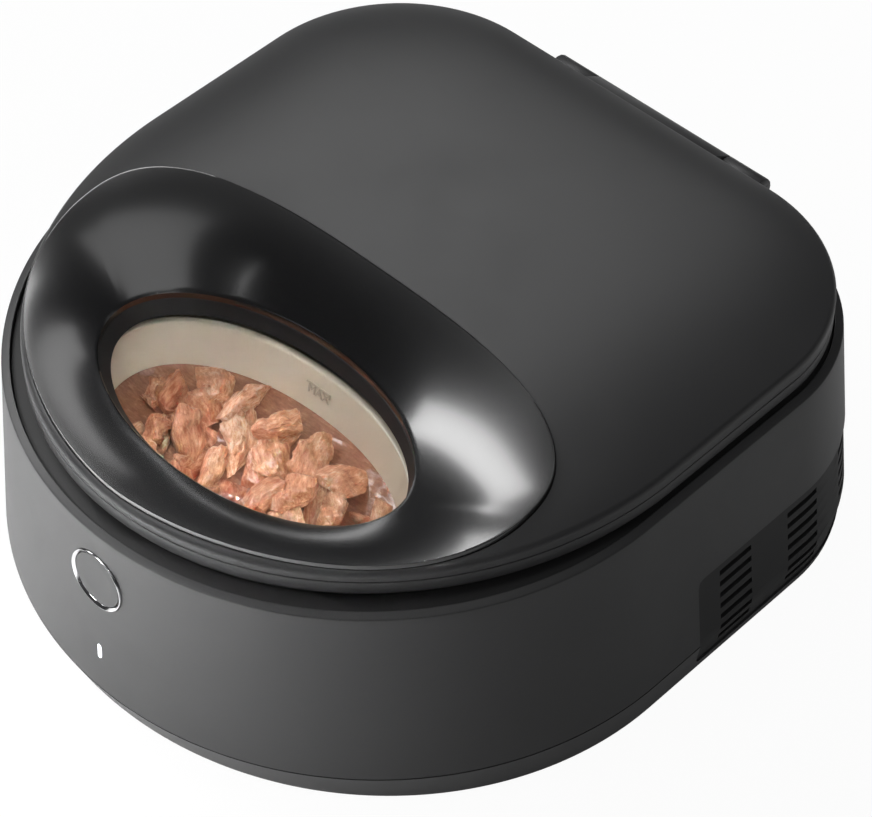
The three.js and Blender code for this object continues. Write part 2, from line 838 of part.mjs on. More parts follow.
// Bowls and the food in the front one
function bowlRing(grow, z) {
  const points = [];
  for (let i = 0; i < bowlCount; i += 1) {
    const turn = (2 * Math.PI * i) / bowlCount;
    const reach = (value, half) => Math.sign(value) * half * Math.abs(value) ** (2 / bowlPower);
    points.push(new THREE.Vector3(
      reach(Math.cos(turn), bowlHalf + grow),
      reach(Math.sin(turn), bowlDepth + grow) - bowlDistance,
      z,
    ));
  }
  return points;
}
const bowlFloorZ = bowlLowZ + bowlWall;
const bowlKneeZ = bowlLowZ + bowlKneeHigh;
function bowlInnerGrow(z) {
  return (-bowlTaper * (bowlRimZ - z)) / (bowlRimZ - bowlKneeZ);
}
function bowlGeometry() {
  return loft([
    bowlRing(bowlWall - bowlFoot - bowlTaper, bowlLowZ),
    bowlRing(bowlWall - bowlTaper, bowlKneeZ),
    bowlRing(bowlWall, bowlRimZ - bowlRimThick),
    bowlRing(bowlRim, bowlRimZ - bowlRimThick),
    bowlRing(bowlRim, bowlRimZ),
    bowlRing(0, bowlRimZ),
    bowlRing(-bowlTaper, bowlKneeZ),
    bowlRing(-bowlFoot - bowlTaper, bowlFloorZ),
  ], false);
}
['front', 'right', 'left'].forEach((word, i) => {
  piece(`bowl_${word}`, bowlGeometry(), cream).rotation.z = (2 * Math.PI * i) / bowlTimes;
});
piece('food_portion', loft([
  bowlRing(-bowlFoot - bowlTaper - gap, bowlFloorZ + gap),
  bowlRing(-bowlTaper - gap * 2, bowlKneeZ + gap),
  bowlRing(bowlInnerGrow(foodZ) - gap, foodZ),
  bowlRing((bowlInnerGrow(foodZ) - bowlDepth) * foodCrownShare, foodZ + foodCrown),
], false), meat);

// Lid surface: a dome that falls to a small edge over an upright side. Share 1 is the lid's outline.
function edgeHeight(y) {
  return lidSeamZ + lidSideRise + lidSideTilt * ((y + lidFront) / (lidBack + lidFront));
}
function lidHeight(x, y) {
  const share = Math.hypot(x / lidHalf, Math.min(y - lidWaist, 0) / (lidFront + lidWaist));
  return edgeHeight(y) + lidDome * (1 - Math.min(share, 1) ** domePower);
}
function lidSpots(share) {
  const onShare = (p) => new THREE.Vector2(p.x * share, THREE.MathUtils.lerp(lidWaist, p.y, share));
  return outline(lidPlan).map(onShare);
}
function lidRing(share, drop) {
  const rise = lidDome * (1 - share ** domePower) - drop;
  return lidSpots(share).map((p) => new THREE.Vector3(p.x, p.y, edgeHeight(p.y) + rise));
}
const shellLowZ = lidSeamZ + gap / 2;
const liningScale = 1 - wall / lidHalf;
const shellBody = loft([
  ...domeShares.map((share) => lidRing(share, 0)),
  lidRing(1 - lidEdge / lidHalf, 0),
  lidRing(1 - (lidEdge * edgeStep) / lidHalf, lidEdge * edgeStep),
  lidRing(1, lidEdge),
  lidSpots(1).map((p) => new THREE.Vector3(p.x, p.y, shellLowZ)),
  lidSpots(liningScale).map((p) => new THREE.Vector3(p.x, p.y, shellLowZ)),
  ...domeUnderShares.map((share) => lidRing(share * liningScale, wall)),
], false);

// Scoop rim point: turn 0 is the middle of its rear edge
function scoopSpot(turn, grow) {
  const side = Math.sin(turn);
  const rearward = Math.cos(turn);
  const power = rearward < 0 ? scoopFrontPower : scoopRearPower;
  const reach = (rearward < 0 ? scoopFront : scoopRear) + grow;
  return new THREE.Vector2(
    Math.sign(side) * (scoopHalf + grow) * Math.abs(side) ** (2 / power),
    scoopMid + Math.sign(rearward) * reach * Math.abs(rearward) ** (2 / power),
  );
}
const ovalTurns = Array.from({ length: ovalCount }, (_, i) => (2 * Math.PI * i) / ovalCount);
function funnelRing(share, proud, drop) {
  return ovalTurns.map((turn) => {
    const edge = scoopSpot(turn, 0);
    const rise = proud * (1 - Math.max(0, Math.cos(turn)) ** 2);
    const edgeZ = lidHeight(edge.x, edge.y) + rise;
    const fall = THREE.MathUtils.lerp(share ** 2, share, funnelStartShare);
    return new THREE.Vector3(
      THREE.MathUtils.lerp(edge.x, openingHalf * Math.sin(turn), share),
      THREE.MathUtils.lerp(edge.y, openingY + openingDepth * Math.cos(turn), share),
      THREE.MathUtils.lerp(edgeZ, openingZ, fall) - drop,
    );
  });
}
const scoopPocket = extruded(ovalTurns.map((turn) => scoopSpot(turn, gap)), [], lidSeamZ, crownZ + overrun);
piece('lid_shell', carve(shellBody, [scoopPocket]), charcoal);
piece('lid_scoop', loft([
  ...funnelShares.map((share) => funnelRing(share, scoopProud, 0)),
  ...funnelUnderShares.map((share) => funnelRing(share, 0, scoopWall)),
], true), glossBlack);

// Collar between the scoop and the lining
function openingRing(grow, z) {
  return ellipseRing(openingHalf + grow, openingDepth + grow, openingY, z, ovalCount);
}
function openingCut(grow) {
  return loft([openingRing(grow, liningZ - overrun), openingRing(grow, lidSeamZ)], false);
}
const collarTopZ = openingZ - scoopWall - gap;
piece('opening_collar', loft([
  openingRing(0, liningZ),
  openingRing(0, collarTopZ),
  openingRing(collarWall, collarTopZ),
  openingRing(collarWall, liningZ),
], true), softBlack);

// Lid base with its floor, the lining under it and the gasket
const lidFloorTop = lidZ + lidFloor;
const lidBandTop = lidSeamZ - gap / 2;
const shaftHole = peg(shutterShaft + gap, liningZ - overrun, lidSeamZ, pegCount);
const lidBaseBody = loft([
  ringAt(lidPlan, lidZ),
  ringAt(lidPlan, lidBandTop),
  ringAt(inset(lidPlan, wall), lidBandTop),
  ringAt(inset(lidPlan, wall), lidFloorTop),
], false);
piece('lid_base', carve(lidBaseBody, [openingCut(floorHoleMargin), shaftHole]), charcoal);
const liningTop = lidZ - gap;
const liningBody = lathed([
  [0, liningZ],
  [liningRadius, liningZ],
  [liningRadius, liningTop],
  [liningRadius - liningWall, liningTop],
  [liningRadius - liningWall, liningZ + liningWall],
  [0, liningZ + liningWall],
], roundCount);
piece('lid_lining', carve(liningBody, [openingCut(collarWall + gap), shaftHole]), paleGrey);
const gasketLowZ = deckZ + gasketPlay;
piece('lid_gasket', loft([
  ringAt(gasketPlan, gasketLowZ),
  ringAt(gasketPlan, liningTop),
  ringAt(inset(gasketPlan, gasketWidth), liningTop),
  ringAt(inset(gasketPlan, gasketWidth), gasketLowZ),
], true), softBlack);

// Shutter under the lining, stored over the rear, and its motor on the lid's floor
const shutterTop = liningZ - shutterPlay;
const shutterOutline = [];
for (let i = 0; i <= shutterCount; i += 1) {
  const turn = Math.PI / 2 + shutterHalfTurn * ((2 * i) / shutterCount - 1);
  shutterOutline.push(new THREE.Vector2(shutterRadius * Math.cos(turn), shutterRadius * Math.sin(turn)));
}
circle(shutterHub, smallCount).forEach((p, i) => {
  if (i > smallCount / 2 + 1 && i < smallCount - 1) shutterOutline.push(p);
});
piece('shutter', weld([
  extruded(shutterOutline, [], shutterTop - shutterThick, shutterTop),
  peg(shutterShaft, shutterTop - shutterThick, lidFloorTop, pegCount),
]), softBlack);
const shutterMotorZ = lidFloorTop + gap;
piece('shutter_motor', box(
  -shutterMotorHalf,
  shutterMotorHalf,
  -shutterMotorFront,
  shutterMotorRear,
  shutterMotorZ,
  shutterMotorZ + shutterMotorHeight,
), softBlack);

// Three-part hinge: two ears on the housing and the lid's knuckle between them
function barrelArc(fromStep, toStep) {
  const points = [];
  for (let i = fromStep; i >= toStep; i -= 1) {
    const turn = i * barrelStep;
    const y = hingeY + barrelRadius * Math.cos(turn);
    points.push(new THREE.Vector2(y, hingeZ + barrelRadius * Math.sin(turn)));
  }
  return points;
}
const pinAxis = new THREE.Vector2(hingeY, hingeZ);
const pinHole = circle(pinRadius + pinPlay, pegCount).map((p) => p.add(pinAxis));
const armY = lidBack + gap;
const knuckleProfile = [
  new THREE.Vector2(armY, lidZ),
  new THREE.Vector2(armY, lidBandTop),
  new THREE.Vector2(armY + armReach, lidBandTop),
  ...barrelArc(3, -10),
];
const earLowZ = hingeZ - earDrop;
const earHighZ = hingeZ + earRise;
const earProfile = [
  ...barrelArc(5, -5),
  new THREE.Vector2(planAt(earLowZ).back + gap, earLowZ),
  new THREE.Vector2(planAt(earHighZ).back + gap, earHighZ),
];
piece(
  'lid_knuckle',
  extruded(knuckleProfile, [pinHole], -knuckleHalf, knuckleHalf).applyMatrix4(acrossX),
  charcoal,
);
const earRight = extruded(earProfile, [pinHole], earInner, earOuter).applyMatrix4(acrossX);
const earLeft = extruded(earProfile, [pinHole], -earOuter, -earInner).applyMatrix4(acrossX);
piece('hinge_ear_right', earRight, charcoal);
piece('hinge_ear_left', earLeft, charcoal);
piece('hinge_pin', peg(pinRadius, -earOuter, earOuter, pegCount).applyMatrix4(acrossX), steel)
  .position.set(0, hingeY, hingeZ);

// Button in its chromed cup and the status light
stand.add(buttonFrame, lightFrame);
const ringInner = ringRadius - ringWidth;
piece('button_ring', lathed([
  [0, -ringDepth],
  [ringRadius, -ringDepth],
  [ringRadius, ringProud],
  [ringInner, ringProud],
  [ringInner, ringBack - ringDepth],
  [0, ringBack - ringDepth],
], roundCount), chrome, buttonFrame);
piece('power_button', peg(ringInner - gap, -capSunk - capThick, -capSunk, roundCount), charcoal, buttonFrame);
piece('status_light', extruded(stadium(lightHalf, lightReach), [], -wall, lightProud), lit, lightFrame);

// Control board and power inlet
const boardZ = panInnerZ + boardPostHigh + gap;
const boardTop = boardZ + boardThick;
const boardEndX = boardX + boardLength / 2;
piece('control_board', weld([
  box(
    boardX - boardLength / 2,
    boardEndX,
    boardY - boardWidth / 2,
    boardY + boardWidth / 2,
    boardZ,
    boardTop,
  ),
  box(
    boardX - chipHalf,
    boardX + chipHalf,
    boardY - chipHalf,
    boardY + chipHalf,
    boardZ + boardThick / 2,
    boardTop + chipHigh,
  ),
  box(
    boardEndX - boardPostInset * 2 - plugWidth,
    boardEndX - boardPostInset * 2,
    boardY - plugLength / 2,
    boardY + plugLength / 2,
    boardZ + boardThick / 2,
    boardTop + plugHigh,
  ),
]), boardGreen);
stand.add(inletFrame);
piece('power_inlet', lathed([
  [0, -inletLength],
  [inletRadius, -inletLength],
  [inletRadius, inletProud],
  [inletBore, inletProud],
  [inletBore, inletFloor - inletLength],
  [inletPin, inletFloor - inletLength],
  [inletPin, -inletFloor / 2],
  [0, -inletFloor / 2],
], smallCount), softBlack, inletFrame);

export default feeder;
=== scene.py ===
"""Looks of the automatic wet food feeder: fine shells, scoop, bowls, food, vents and button."""

import math
from collections import namedtuple

import bmesh
import bpy
import numpy as np
from mathutils import Matrix, Quaternion, Vector


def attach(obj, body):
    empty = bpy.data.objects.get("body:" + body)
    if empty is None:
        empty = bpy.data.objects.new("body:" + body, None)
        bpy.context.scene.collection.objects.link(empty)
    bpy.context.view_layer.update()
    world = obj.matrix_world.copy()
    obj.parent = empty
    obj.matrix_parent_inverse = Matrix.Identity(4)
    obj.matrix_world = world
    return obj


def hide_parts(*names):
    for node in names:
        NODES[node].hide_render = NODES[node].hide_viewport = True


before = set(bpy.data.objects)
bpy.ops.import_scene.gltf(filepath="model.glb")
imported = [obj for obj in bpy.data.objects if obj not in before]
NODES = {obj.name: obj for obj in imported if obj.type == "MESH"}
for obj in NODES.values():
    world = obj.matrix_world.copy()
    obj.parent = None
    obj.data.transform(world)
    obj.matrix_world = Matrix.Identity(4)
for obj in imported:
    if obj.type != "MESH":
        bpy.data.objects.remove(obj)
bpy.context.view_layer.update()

MM = 0.001
MERGE = 1e-6  # points nearer than this are one
AXIS_Y = -12.25  # the carrier's axis in the part's frame; all sizes below are in millimetres from it
TAU = 2 * math.pi

# Plans are half width, front depth, back depth and rear corner radius
PAN_PLAN = np.array([154.7, 147.6, 166.5, 74.0])
SEAM_PLAN = np.array([157.0, 154.3, 169.0, 76.0])
RIM_PLAN = np.array([148.0, 148.0, 162.0, 72.0])
LEDGE_PLAN = np.array([144.3, 144.7, 158.6, 69.0])
LID_PLAN = np.array([144.2, 140.0, 159.5, 72.0])
LID_WAIST = 15.0  # the lid's front ellipse starts this far behind the axis, the other plans' at it
PAN_Z, SEAM_Z, RIM_Z, LEDGE_Z = 1.8, 19.0, 107.4, 108.7
LID_Z, LID_SEAM_Z = 111.8, 118.25
SEAM_HALF = 0.15  # half the width of a fine seam
WALL = 2.8
GAP = 0.3  # between a piece and the hole it sits in

# Columns round a plan: front half ellipse, right side, right corner, rear, left corner, left side
FRONT, SIDE, CORNER, REAR = 128, 20, 28, 24
TURNS = FRONT + 2 * SIDE + 2 * CORNER + REAR
REAR_MIDDLE = FRONT + SIDE + CORNER + REAR / 2
FRONT_MIDDLE = FRONT // 2


def stack(*parts):
    """Points from coordinates, which are arrays or numbers."""
    return np.stack(np.broadcast_arrays(*parts), -1)


def circle(count):
    """Turns in even steps round a circle."""
    return np.linspace(0, TAU, count, endpoint=False)


def powered(wave, power):
    """A wave whose size is raised to a power and whose sign stays."""
    return np.sign(wave) * np.abs(wave) ** power


def around(column, station, waist=0.0):
    """Plan point at a column: front ellipse, side, corner arc and rear, then the same mirrored."""
    half, front, back, corner, height = (station[..., k] for k in range(5))
    right = np.where(column > REAR_MIDDLE, 2 * REAR_MIDDLE - column, column)
    front_turn = math.pi * column / FRONT
    corner_turn = (math.pi / 2) * np.clip((right - FRONT - SIDE) / CORNER, 0, 1)
    rear_share = np.clip((right - FRONT - SIDE - CORNER) / REAR, 0, 1)
    where = [column <= FRONT, right <= FRONT + SIDE, right <= FRONT + SIDE + CORNER]
    x = np.select(
        where,
        [-half * np.cos(front_turn), half, half - corner + corner * np.cos(corner_turn)],
        (half - corner) * (1 - 2 * rear_share),
    )
    y = np.select(
        where,
        [
            waist - (front + waist) * np.sin(front_turn),
            waist + (back - corner - waist) * (right - FRONT) / SIDE,
            back - corner + corner * np.sin(corner_turn),
        ],
        back + 0 * right,
    )
    return stack(np.where(column > REAR_MIDDLE, -x, x), y, height)


def station(plan, height, inset=0.0):
    """A plan drawn in by an inset, with its height."""
    return np.append(np.asarray(plan, float) - inset, height)


def rings(stations, waist=0.0):
    """Grid of outlines, one row for each station."""
    columns = np.arange(TURNS, dtype=float)[None, :]
    return around(columns, np.asarray(stations)[:, None, :], waist)


def plan_size(leg):
    """Length of the leg between two stations: the greater change of its plan, and its rise."""
    return math.hypot(np.abs(leg[:2]).max(), leg[-1])


def eased(run, radii, steps=5, most=0.48, size=plan_size):
    """Replaces each inner bend of a run by a parabola that starts and ends its radius away.

    The radii are those of the inner bends. No parabola takes more than the most of a leg.
    """
    run = np.asarray(run, float)
    out = [run[0]]
    for before, here, after, radius in zip(run[:-2], run[1:-1], run[2:], radii, strict=True):
        if radius == 0:
            out.append(here)
            continue
        near = [here + (p - here) * min(radius / size(p - here), most) for p in (before, after)]
        for t in np.linspace(0, 1, steps):
            out.append((1 - t) ** 2 * near[0] + 2 * t * (1 - t) * here + t * t * near[1])
    return [*out, run[-1]]


def softened(profile, radius, steps=4):
    """A profile of (radius, height) points with each inner bend rounded off."""
    return eased(profile, [radius] * (len(profile) - 2), steps, 0.45, np.linalg.norm)


def quads(rows, columns, wrap_rows=False, wrap_columns=True):
    """Corner numbers of the quads of a grid; a wrapped direction joins its last line to its first."""
    row = np.arange(rows if wrap_rows else rows - 1)
    column = np.arange(columns if wrap_columns else columns - 1)
    r, c = (a.ravel() for a in np.meshgrid(row, column, indexing="ij"))
    r2, c2 = (r + 1) % rows, (c + 1) % columns
    return stack(r * columns + c, r * columns + c2, r2 * columns + c2, r2 * columns + c)


def skin(grid, wrap_rows=False):
    """Points and quads of a grid of points whose rows are closed."""
    return grid.reshape(-1, 3), quads(*grid.shape[:2], wrap_rows)


def looped(rows):
    """Points and quads of closed rows whose last one joins the first."""
    return skin(np.array(rows), wrap_rows=True)


def capped(grid):
    """A grid of closed rows whose first and last rows are drawn in to their middles."""
    shares = np.array([1.0, 0.66, 0.33, 0.0])[:, None, None]
    low, high = (row.mean(0) * (1 - shares) + row[None] * shares for row in (grid[0], grid[-1]))
    return skin(np.concatenate([low[::-1], grid[1:-1], high]))


def joined(parts):
    """One list of points and quads from several."""
    points, faces, start = [], [], 0
    for some_points, some_faces in parts:
        points.append(some_points)
        faces.append(np.asarray(some_faces) + start)
        start += len(some_points)
    return np.concatenate(points), np.concatenate(faces)


def finish_mesh(mesh, sharp):
    """Merges doubled points, turns the faces outwards and smooths all but the sharp edges."""
    work = bmesh.new()
    work.from_mesh(mesh)
    bmesh.ops.remove_doubles(work, verts=work.verts, dist=MERGE)
    bmesh.ops.dissolve_degenerate(work, edges=work.edges, dist=MERGE / 10)
    bmesh.ops.recalc_face_normals(work, faces=work.faces)
    work.to_mesh(mesh)
    work.free()
    mesh.polygons.foreach_set("use_smooth", np.ones(len(mesh.polygons), bool))
    mesh.set_sharp_from_angle(angle=math.radians(sharp))


def linked(name, data):
    """An object of some data, linked to the scene."""
    thing = bpy.data.objects.new(name, data)
    bpy.context.scene.collection.objects.link(thing)
    return thing


def piece(name, part, body, material, slot, *nodes, sharp=32, **marks):
    """A finished object from points in millimetres round the carrier's axis and faces.

    Marks are values at the points, kept as attributes: one number or three for each point.
    """
    points, faces = part
    placed = (np.asarray(points) + [0, AXIS_Y, 0]) * MM
    mesh = bpy.data.meshes.new(name)
    mesh.from_pydata(placed.tolist(), [], [list(map(int, f)) for f in faces])
    for label, values in marks.items():
        kind, field = ("FLOAT", "value") if np.ndim(values) == 1 else ("FLOAT_VECTOR", "vector")
        mesh.attributes.new(label, kind, "POINT").data.foreach_set(field, np.ravel(values))
    finish_mesh(mesh, sharp)
    mesh.materials.append(material)
    thing = linked(name, mesh)
    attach(thing, body)
    if nodes:
        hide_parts(*nodes)
    return thing


# Shader node groups
def node_group(name, values, results):
    """A shader group, what it is given and its output node: a vector and numbers in, numbers out."""
    group = bpy.data.node_groups.new(name, "ShaderNodeTree")
    group.interface.new_socket("Vector", in_out="INPUT", socket_type="NodeSocketVector")
    for label, value in values.items():
        socket = group.interface.new_socket(label, in_out="INPUT", socket_type="NodeSocketFloat")
        socket.default_value = value
    for label in results:
        group.interface.new_socket(label, in_out="OUTPUT", socket_type="NodeSocketFloat")
    return group, group.nodes.new("NodeGroupInput").outputs, group.nodes.new("NodeGroupOutput")


def feed(socket, value):
    """Links a socket to another one, or gives it a number or a tuple."""
    if isinstance(value, bpy.types.NodeSocket):
        socket.id_data.links.new(value, socket)
    else:
        socket.default_value = value


def set_inputs(node, **values):
    """Feeds a node's sockets by name, with _ for a space."""
    for label, value in values.items():
        feed(node.inputs[label.replace("_", " ")], value)


def add_node(tree, kind, **values):
    """A new shader node with its sockets set."""
    node = tree.nodes.new(f"ShaderNode{kind}")
    set_inputs(node, **values)
    return node


def noise(tree, vector, scale, detail, roughness=0.5, distortion=0.0):
    """A noise texture's value at a vector socket."""
    texture = add_node(tree, "TexNoise", Vector=vector, Scale=scale, Detail=detail)
    set_inputs(texture, Roughness=roughness, Distortion=distortion)
    return texture.outputs["Fac"]


def math_node(tree, operation, *values, clamp=False):
    """A math node's result; its values are sockets or numbers."""
    node = tree.nodes.new("ShaderNodeMath")
    node.operation = operation
    node.use_clamp = clamp
    for socket, value in zip(node.inputs, values):
        feed(socket, value)
    return node.outputs[0]


def range_node(tree, value, low, high, to_low=0.0, to_high=1.0):
    """A clamped map range's result."""
    ends = {"From_Min": low, "From_Max": high, "To_Min": to_low, "To_Max": to_high}
    return add_node(tree, "MapRange", Value=value, **ends).outputs["Result"]


def mix_node(tree, factor, first, second):
    """A colour mix; colours are sockets or tuples."""
    node = tree.nodes.new("ShaderNodeMix")
    node.data_type = "RGBA"
    for label, value in (("Factor", factor), ("A", first), ("B", second)):
        socket = next(s for s in node.inputs if s.name == label and s.enabled)
        feed(socket, (*value, 1.0) if isinstance(value, tuple) else value)
    return next(s for s in node.outputs if s.enabled)


def make_grain():
    """Moulded grain: fine pits and a slow mottle, as height, colour share and roughness."""
    values = {"Pit Scale": 1800.0, "Mottle Scale": 14.0, "Roughness": 0.5, "Spread": 0.05}
    group, given, out = node_group("MouldedGrain", values, ("Height", "Mottle", "Roughness"))
    pits = noise(group, given["Vector"], given["Pit Scale"], 2.0, 0.6)
    mottle = noise(group, given["Vector"], given["Mottle Scale"], 4.0, 0.55)
    wander = math_node(group, "SUBTRACT", mottle, 0.5)
    rough = math_node(group, "MULTIPLY_ADD", wander, given["Spread"], given["Roughness"])
    set_inputs(out, Height=pits, Mottle=mottle, Roughness=rough)
    return group


def make_dust():
    """Faint dust and finger marks: a mask that gathers in patches."""
    group, given, out = node_group("FaintMarks", {"Patch Scale": 22.0, "Amount": 0.1}, ("Mask",))
    broad = noise(group, given["Vector"], given["Patch Scale"], 5.0, 0.62, 0.6)
    sharp = range_node(group, broad, 0.48, 0.75)
    set_inputs(out, Mask=math_node(group, "MULTIPLY", sharp, given["Amount"]))
    return group


GRAIN = make_grain()
MARKS = make_dust()


def use_group(tree, group, vector, **values):
    """A group placed in a material, with its own values."""
    node = tree.nodes.new("ShaderNodeGroup")
    node.node_tree = group
    set_inputs(node, Vector=vector, **values)
    return node.outputs


def blank_material(name):
    """A material with a Principled shader; returns material, tree, shader and Object coordinates."""
    material = bpy.data.materials.new(name)
    material.use_nodes = True
    tree = material.node_tree
    shader = tree.nodes["Principled BSDF"]
    place = tree.nodes.new("ShaderNodeTexCoord").outputs["Object"]
    return material, tree, shader, place


def bump(tree, shader, height, strength, distance):
    """A bump node onto the shader's normal."""
    node = add_node(tree, "Bump", Height=height, Strength=strength, Distance=distance)
    set_inputs(shader, Normal=node.outputs["Normal"])


def plastic(name, dark, light, roughness, spread=0.05, pits=1800.0, depth=0.00002, marks=0.0, **sockets):
    """Moulded plastic: two near tones over a mottle, grain in the roughness and bump, faint marks."""
    material, tree, shader, place = blank_material(name)
    grain = use_group(tree, GRAIN, place, Pit_Scale=pits, Roughness=roughness, Spread=spread)
    rough = grain["Roughness"]
    if marks:
        worn = use_group(tree, MARKS, place, Amount=marks)
        rough = math_node(tree, "ADD", rough, worn["Mask"], clamp=True)
    colour = mix_node(tree, grain["Mottle"], dark, light)
    set_inputs(shader, Base_Color=colour, Roughness=rough, **sockets)
    bump(tree, shader, grain["Height"], 0.6, depth)
    return material


def metal(name, colour, roughness, drawn=40.0):
    """Bare metal with lines drawn along Z; a draw of 1 leaves a plain mottle."""
    material, tree, shader, place = blank_material(name)
    stretch = add_node(tree, "Mapping", Vector=place, Scale=(1.0, 1.0, drawn))
    lines = noise(tree, stretch.outputs["Vector"], 90.0, 5.0, 0.6)
    tone = mix_node(tree, lines, tuple(0.88 * c for c in colour), colour)
    rough = range_node(tree, lines, 0.3, 0.7, roughness - 0.05, roughness + 0.08)
    set_inputs(shader, Base_Color=tone, Roughness=rough, Metallic=1.0)
    bump(tree, shader, lines, 0.25, 0.00002)
    return material


CHARCOAL = plastic("matte_charcoal", (0.031, 0.031, 0.032), (0.036, 0.036, 0.037), 0.44, 0.05, marks=0.04)
GLOSS_BLACK = plastic(
    "satin_gloss_black",
    (0.006, 0.006, 0.0065),
    (0.008, 0.008, 0.0085),
    0.24,
    0.03,
    depth=0.000004,
    Coat_Weight=1.0,
    Coat_Roughness=0.15,
)
SOFT_BLACK = plastic("soft_black", (0.010, 0.010, 0.0105), (0.015, 0.015, 0.0155), 0.62, 0.08)
RUBBER = plastic("gasket_rubber", (0.009, 0.009, 0.0095), (0.014, 0.014, 0.0145), 0.55, 0.06, 900.0)
CREAM = plastic("cream_bowl", (0.74, 0.67, 0.53), (0.80, 0.735, 0.60), 0.34, depth=0.00001)
# The fill mark's cream is darker than the bowl's: painted shade on the raised word and line
SHADED_MARK_CREAM = plastic("cream_mark_painted_shade", (0.50, 0.44, 0.33), (0.55, 0.485, 0.37), 0.34, depth=0.00001)
PALE_GREY = plastic("pale_grey_lining", (0.44, 0.45, 0.44), (0.50, 0.51, 0.50), 0.5)
FOAM = plastic("white_foam", (0.58, 0.58, 0.55), (0.70, 0.70, 0.67), 0.95, 0.03, 420.0, 0.0002)
ACETAL = plastic("white_acetal", (0.66, 0.66, 0.62), (0.74, 0.74, 0.70), 0.42)
CERAMIC = plastic("white_ceramic", (0.72, 0.72, 0.70), (0.80, 0.80, 0.78), 0.45)
BOARD = plastic("solder_resist", (0.012, 0.07, 0.03), (0.02, 0.10, 0.04), 0.4, 0.1, 700.0)
CHROME = metal("polished_chrome", (0.62, 0.62, 0.63), 0.12, 1.0)
ALUMINIUM = metal("brushed_aluminium", (0.58, 0.59, 0.60), 0.36)
STEEL = metal("plain_steel", (0.42, 0.43, 0.44), 0.34)


def light_material():
    """Lit frosted lens: white glow with a slight fall towards a cooler tone."""
    material, tree, shader, place = blank_material("lit_lens")
    colour = mix_node(tree, noise(tree, place, 300.0, 2.0), (0.86, 0.90, 1.0), (1.0, 1.0, 1.0))
    set_inputs(shader, Base_Color=colour, Emission_Color=colour, Emission_Strength=1.0, Roughness=0.4)
    return material


LIT_LENS = light_material()


# Walls with windows: a domain of columns and heights, left open at each window
def wall_station(height, inset):
    """The outer wall's plan at a height, flared from the rim to the seam and tucked in under it."""
    height = np.asarray(height, float)[..., None]
    up = np.clip((height - SEAM_Z) / (RIM_Z - SEAM_Z), 0, 1)
    low = np.clip((height - PAN_Z) / (SEAM_Z - PAN_Z), 0, 1)
    above = SEAM_PLAN + (RIM_PLAN - SEAM_PLAN) * up
    below = PAN_PLAN + (SEAM_PLAN - PAN_PLAN) * low
    plan = np.where(height >= SEAM_Z, above, below) - np.asarray(inset)[..., None]
    return np.concatenate([plan, height], -1)


def wall_points(columns, heights, inset):
    """Points of the wall at columns and heights, drawn in by an inset."""
    columns, heights = np.broadcast_arrays(np.asarray(columns, float), np.asarray(heights, float))
    return around(columns, wall_station(heights, inset + 0 * heights))


WALK_Z = 60.0
walk = wall_points(np.arange(TURNS + 1) % TURNS, WALK_Z, 0.0)
walk_steps = np.linalg.norm(np.diff(walk, axis=0), axis=1)
WALK = np.concatenate([[0], np.cumsum(walk_steps)])  # length along the wall at each column


def along(column):
    """Length along the wall at a column."""
    return np.interp(column, np.arange(TURNS + 1), WALK)


def column_at(length):
    """Column at a length along the wall."""
    return np.interp(length, WALK, np.arange(TURNS + 1))


def soft_box_reach(turn, half_long, half_high, radius):
    """Distance from the middle of a rounded rectangle to its edge at a turn, from its dense outline."""
    t = np.linspace(0, math.pi / 2, 25)
    edge = np.concatenate(
        [
            stack(half_long, np.linspace(0, half_high - radius, 40)),
            stack(half_long - radius + radius * np.cos(t), half_high - radius + radius * np.sin(t)),
            stack(np.linspace(half_long - radius, 0, 160), half_high),
        ]
    )
    angle = np.arctan2(edge[:, 1], edge[:, 0])
    quarter = np.arctan2(np.abs(np.sin(turn)), np.abs(np.cos(turn)))
    return np.interp(quarter, angle, np.hypot(edge[:, 0], edge[:, 1]))


# A hole in a wall: its window's first and last column, and first and last row; its middle as
# column and height; its half sizes and corner radius in millimetres; the side of the wall on
# which it stays open, none, low or high; and the shares of the way at which its rings stand.
Hole = namedtuple("Hole", "columns rows middle half radius side shares", defaults=(None, (0.35, 0.7, 1.0)))


def window_path(hole):
    """Columns and rows round a window, from the hole's open side to it again or all the way round."""
    (c0, c1), (r0, r1) = hole.columns, hole.rows
    low = [(c, r0) for c in range(c0, c1)]
    right = [(c1, r) for r in range(r0, r1)]
    high = [(c, r1) for c in range(c1, c0, -1)]
    left = [(c0, r) for r in range(r1, r0, -1)]
    if hole.side == "low":
        return np.array(right + high + left + [(c0, r0)])
    if hole.side == "high":
        return np.array(left + low + right + [(c1, r1)])
    return np.array(low + right + high + left)


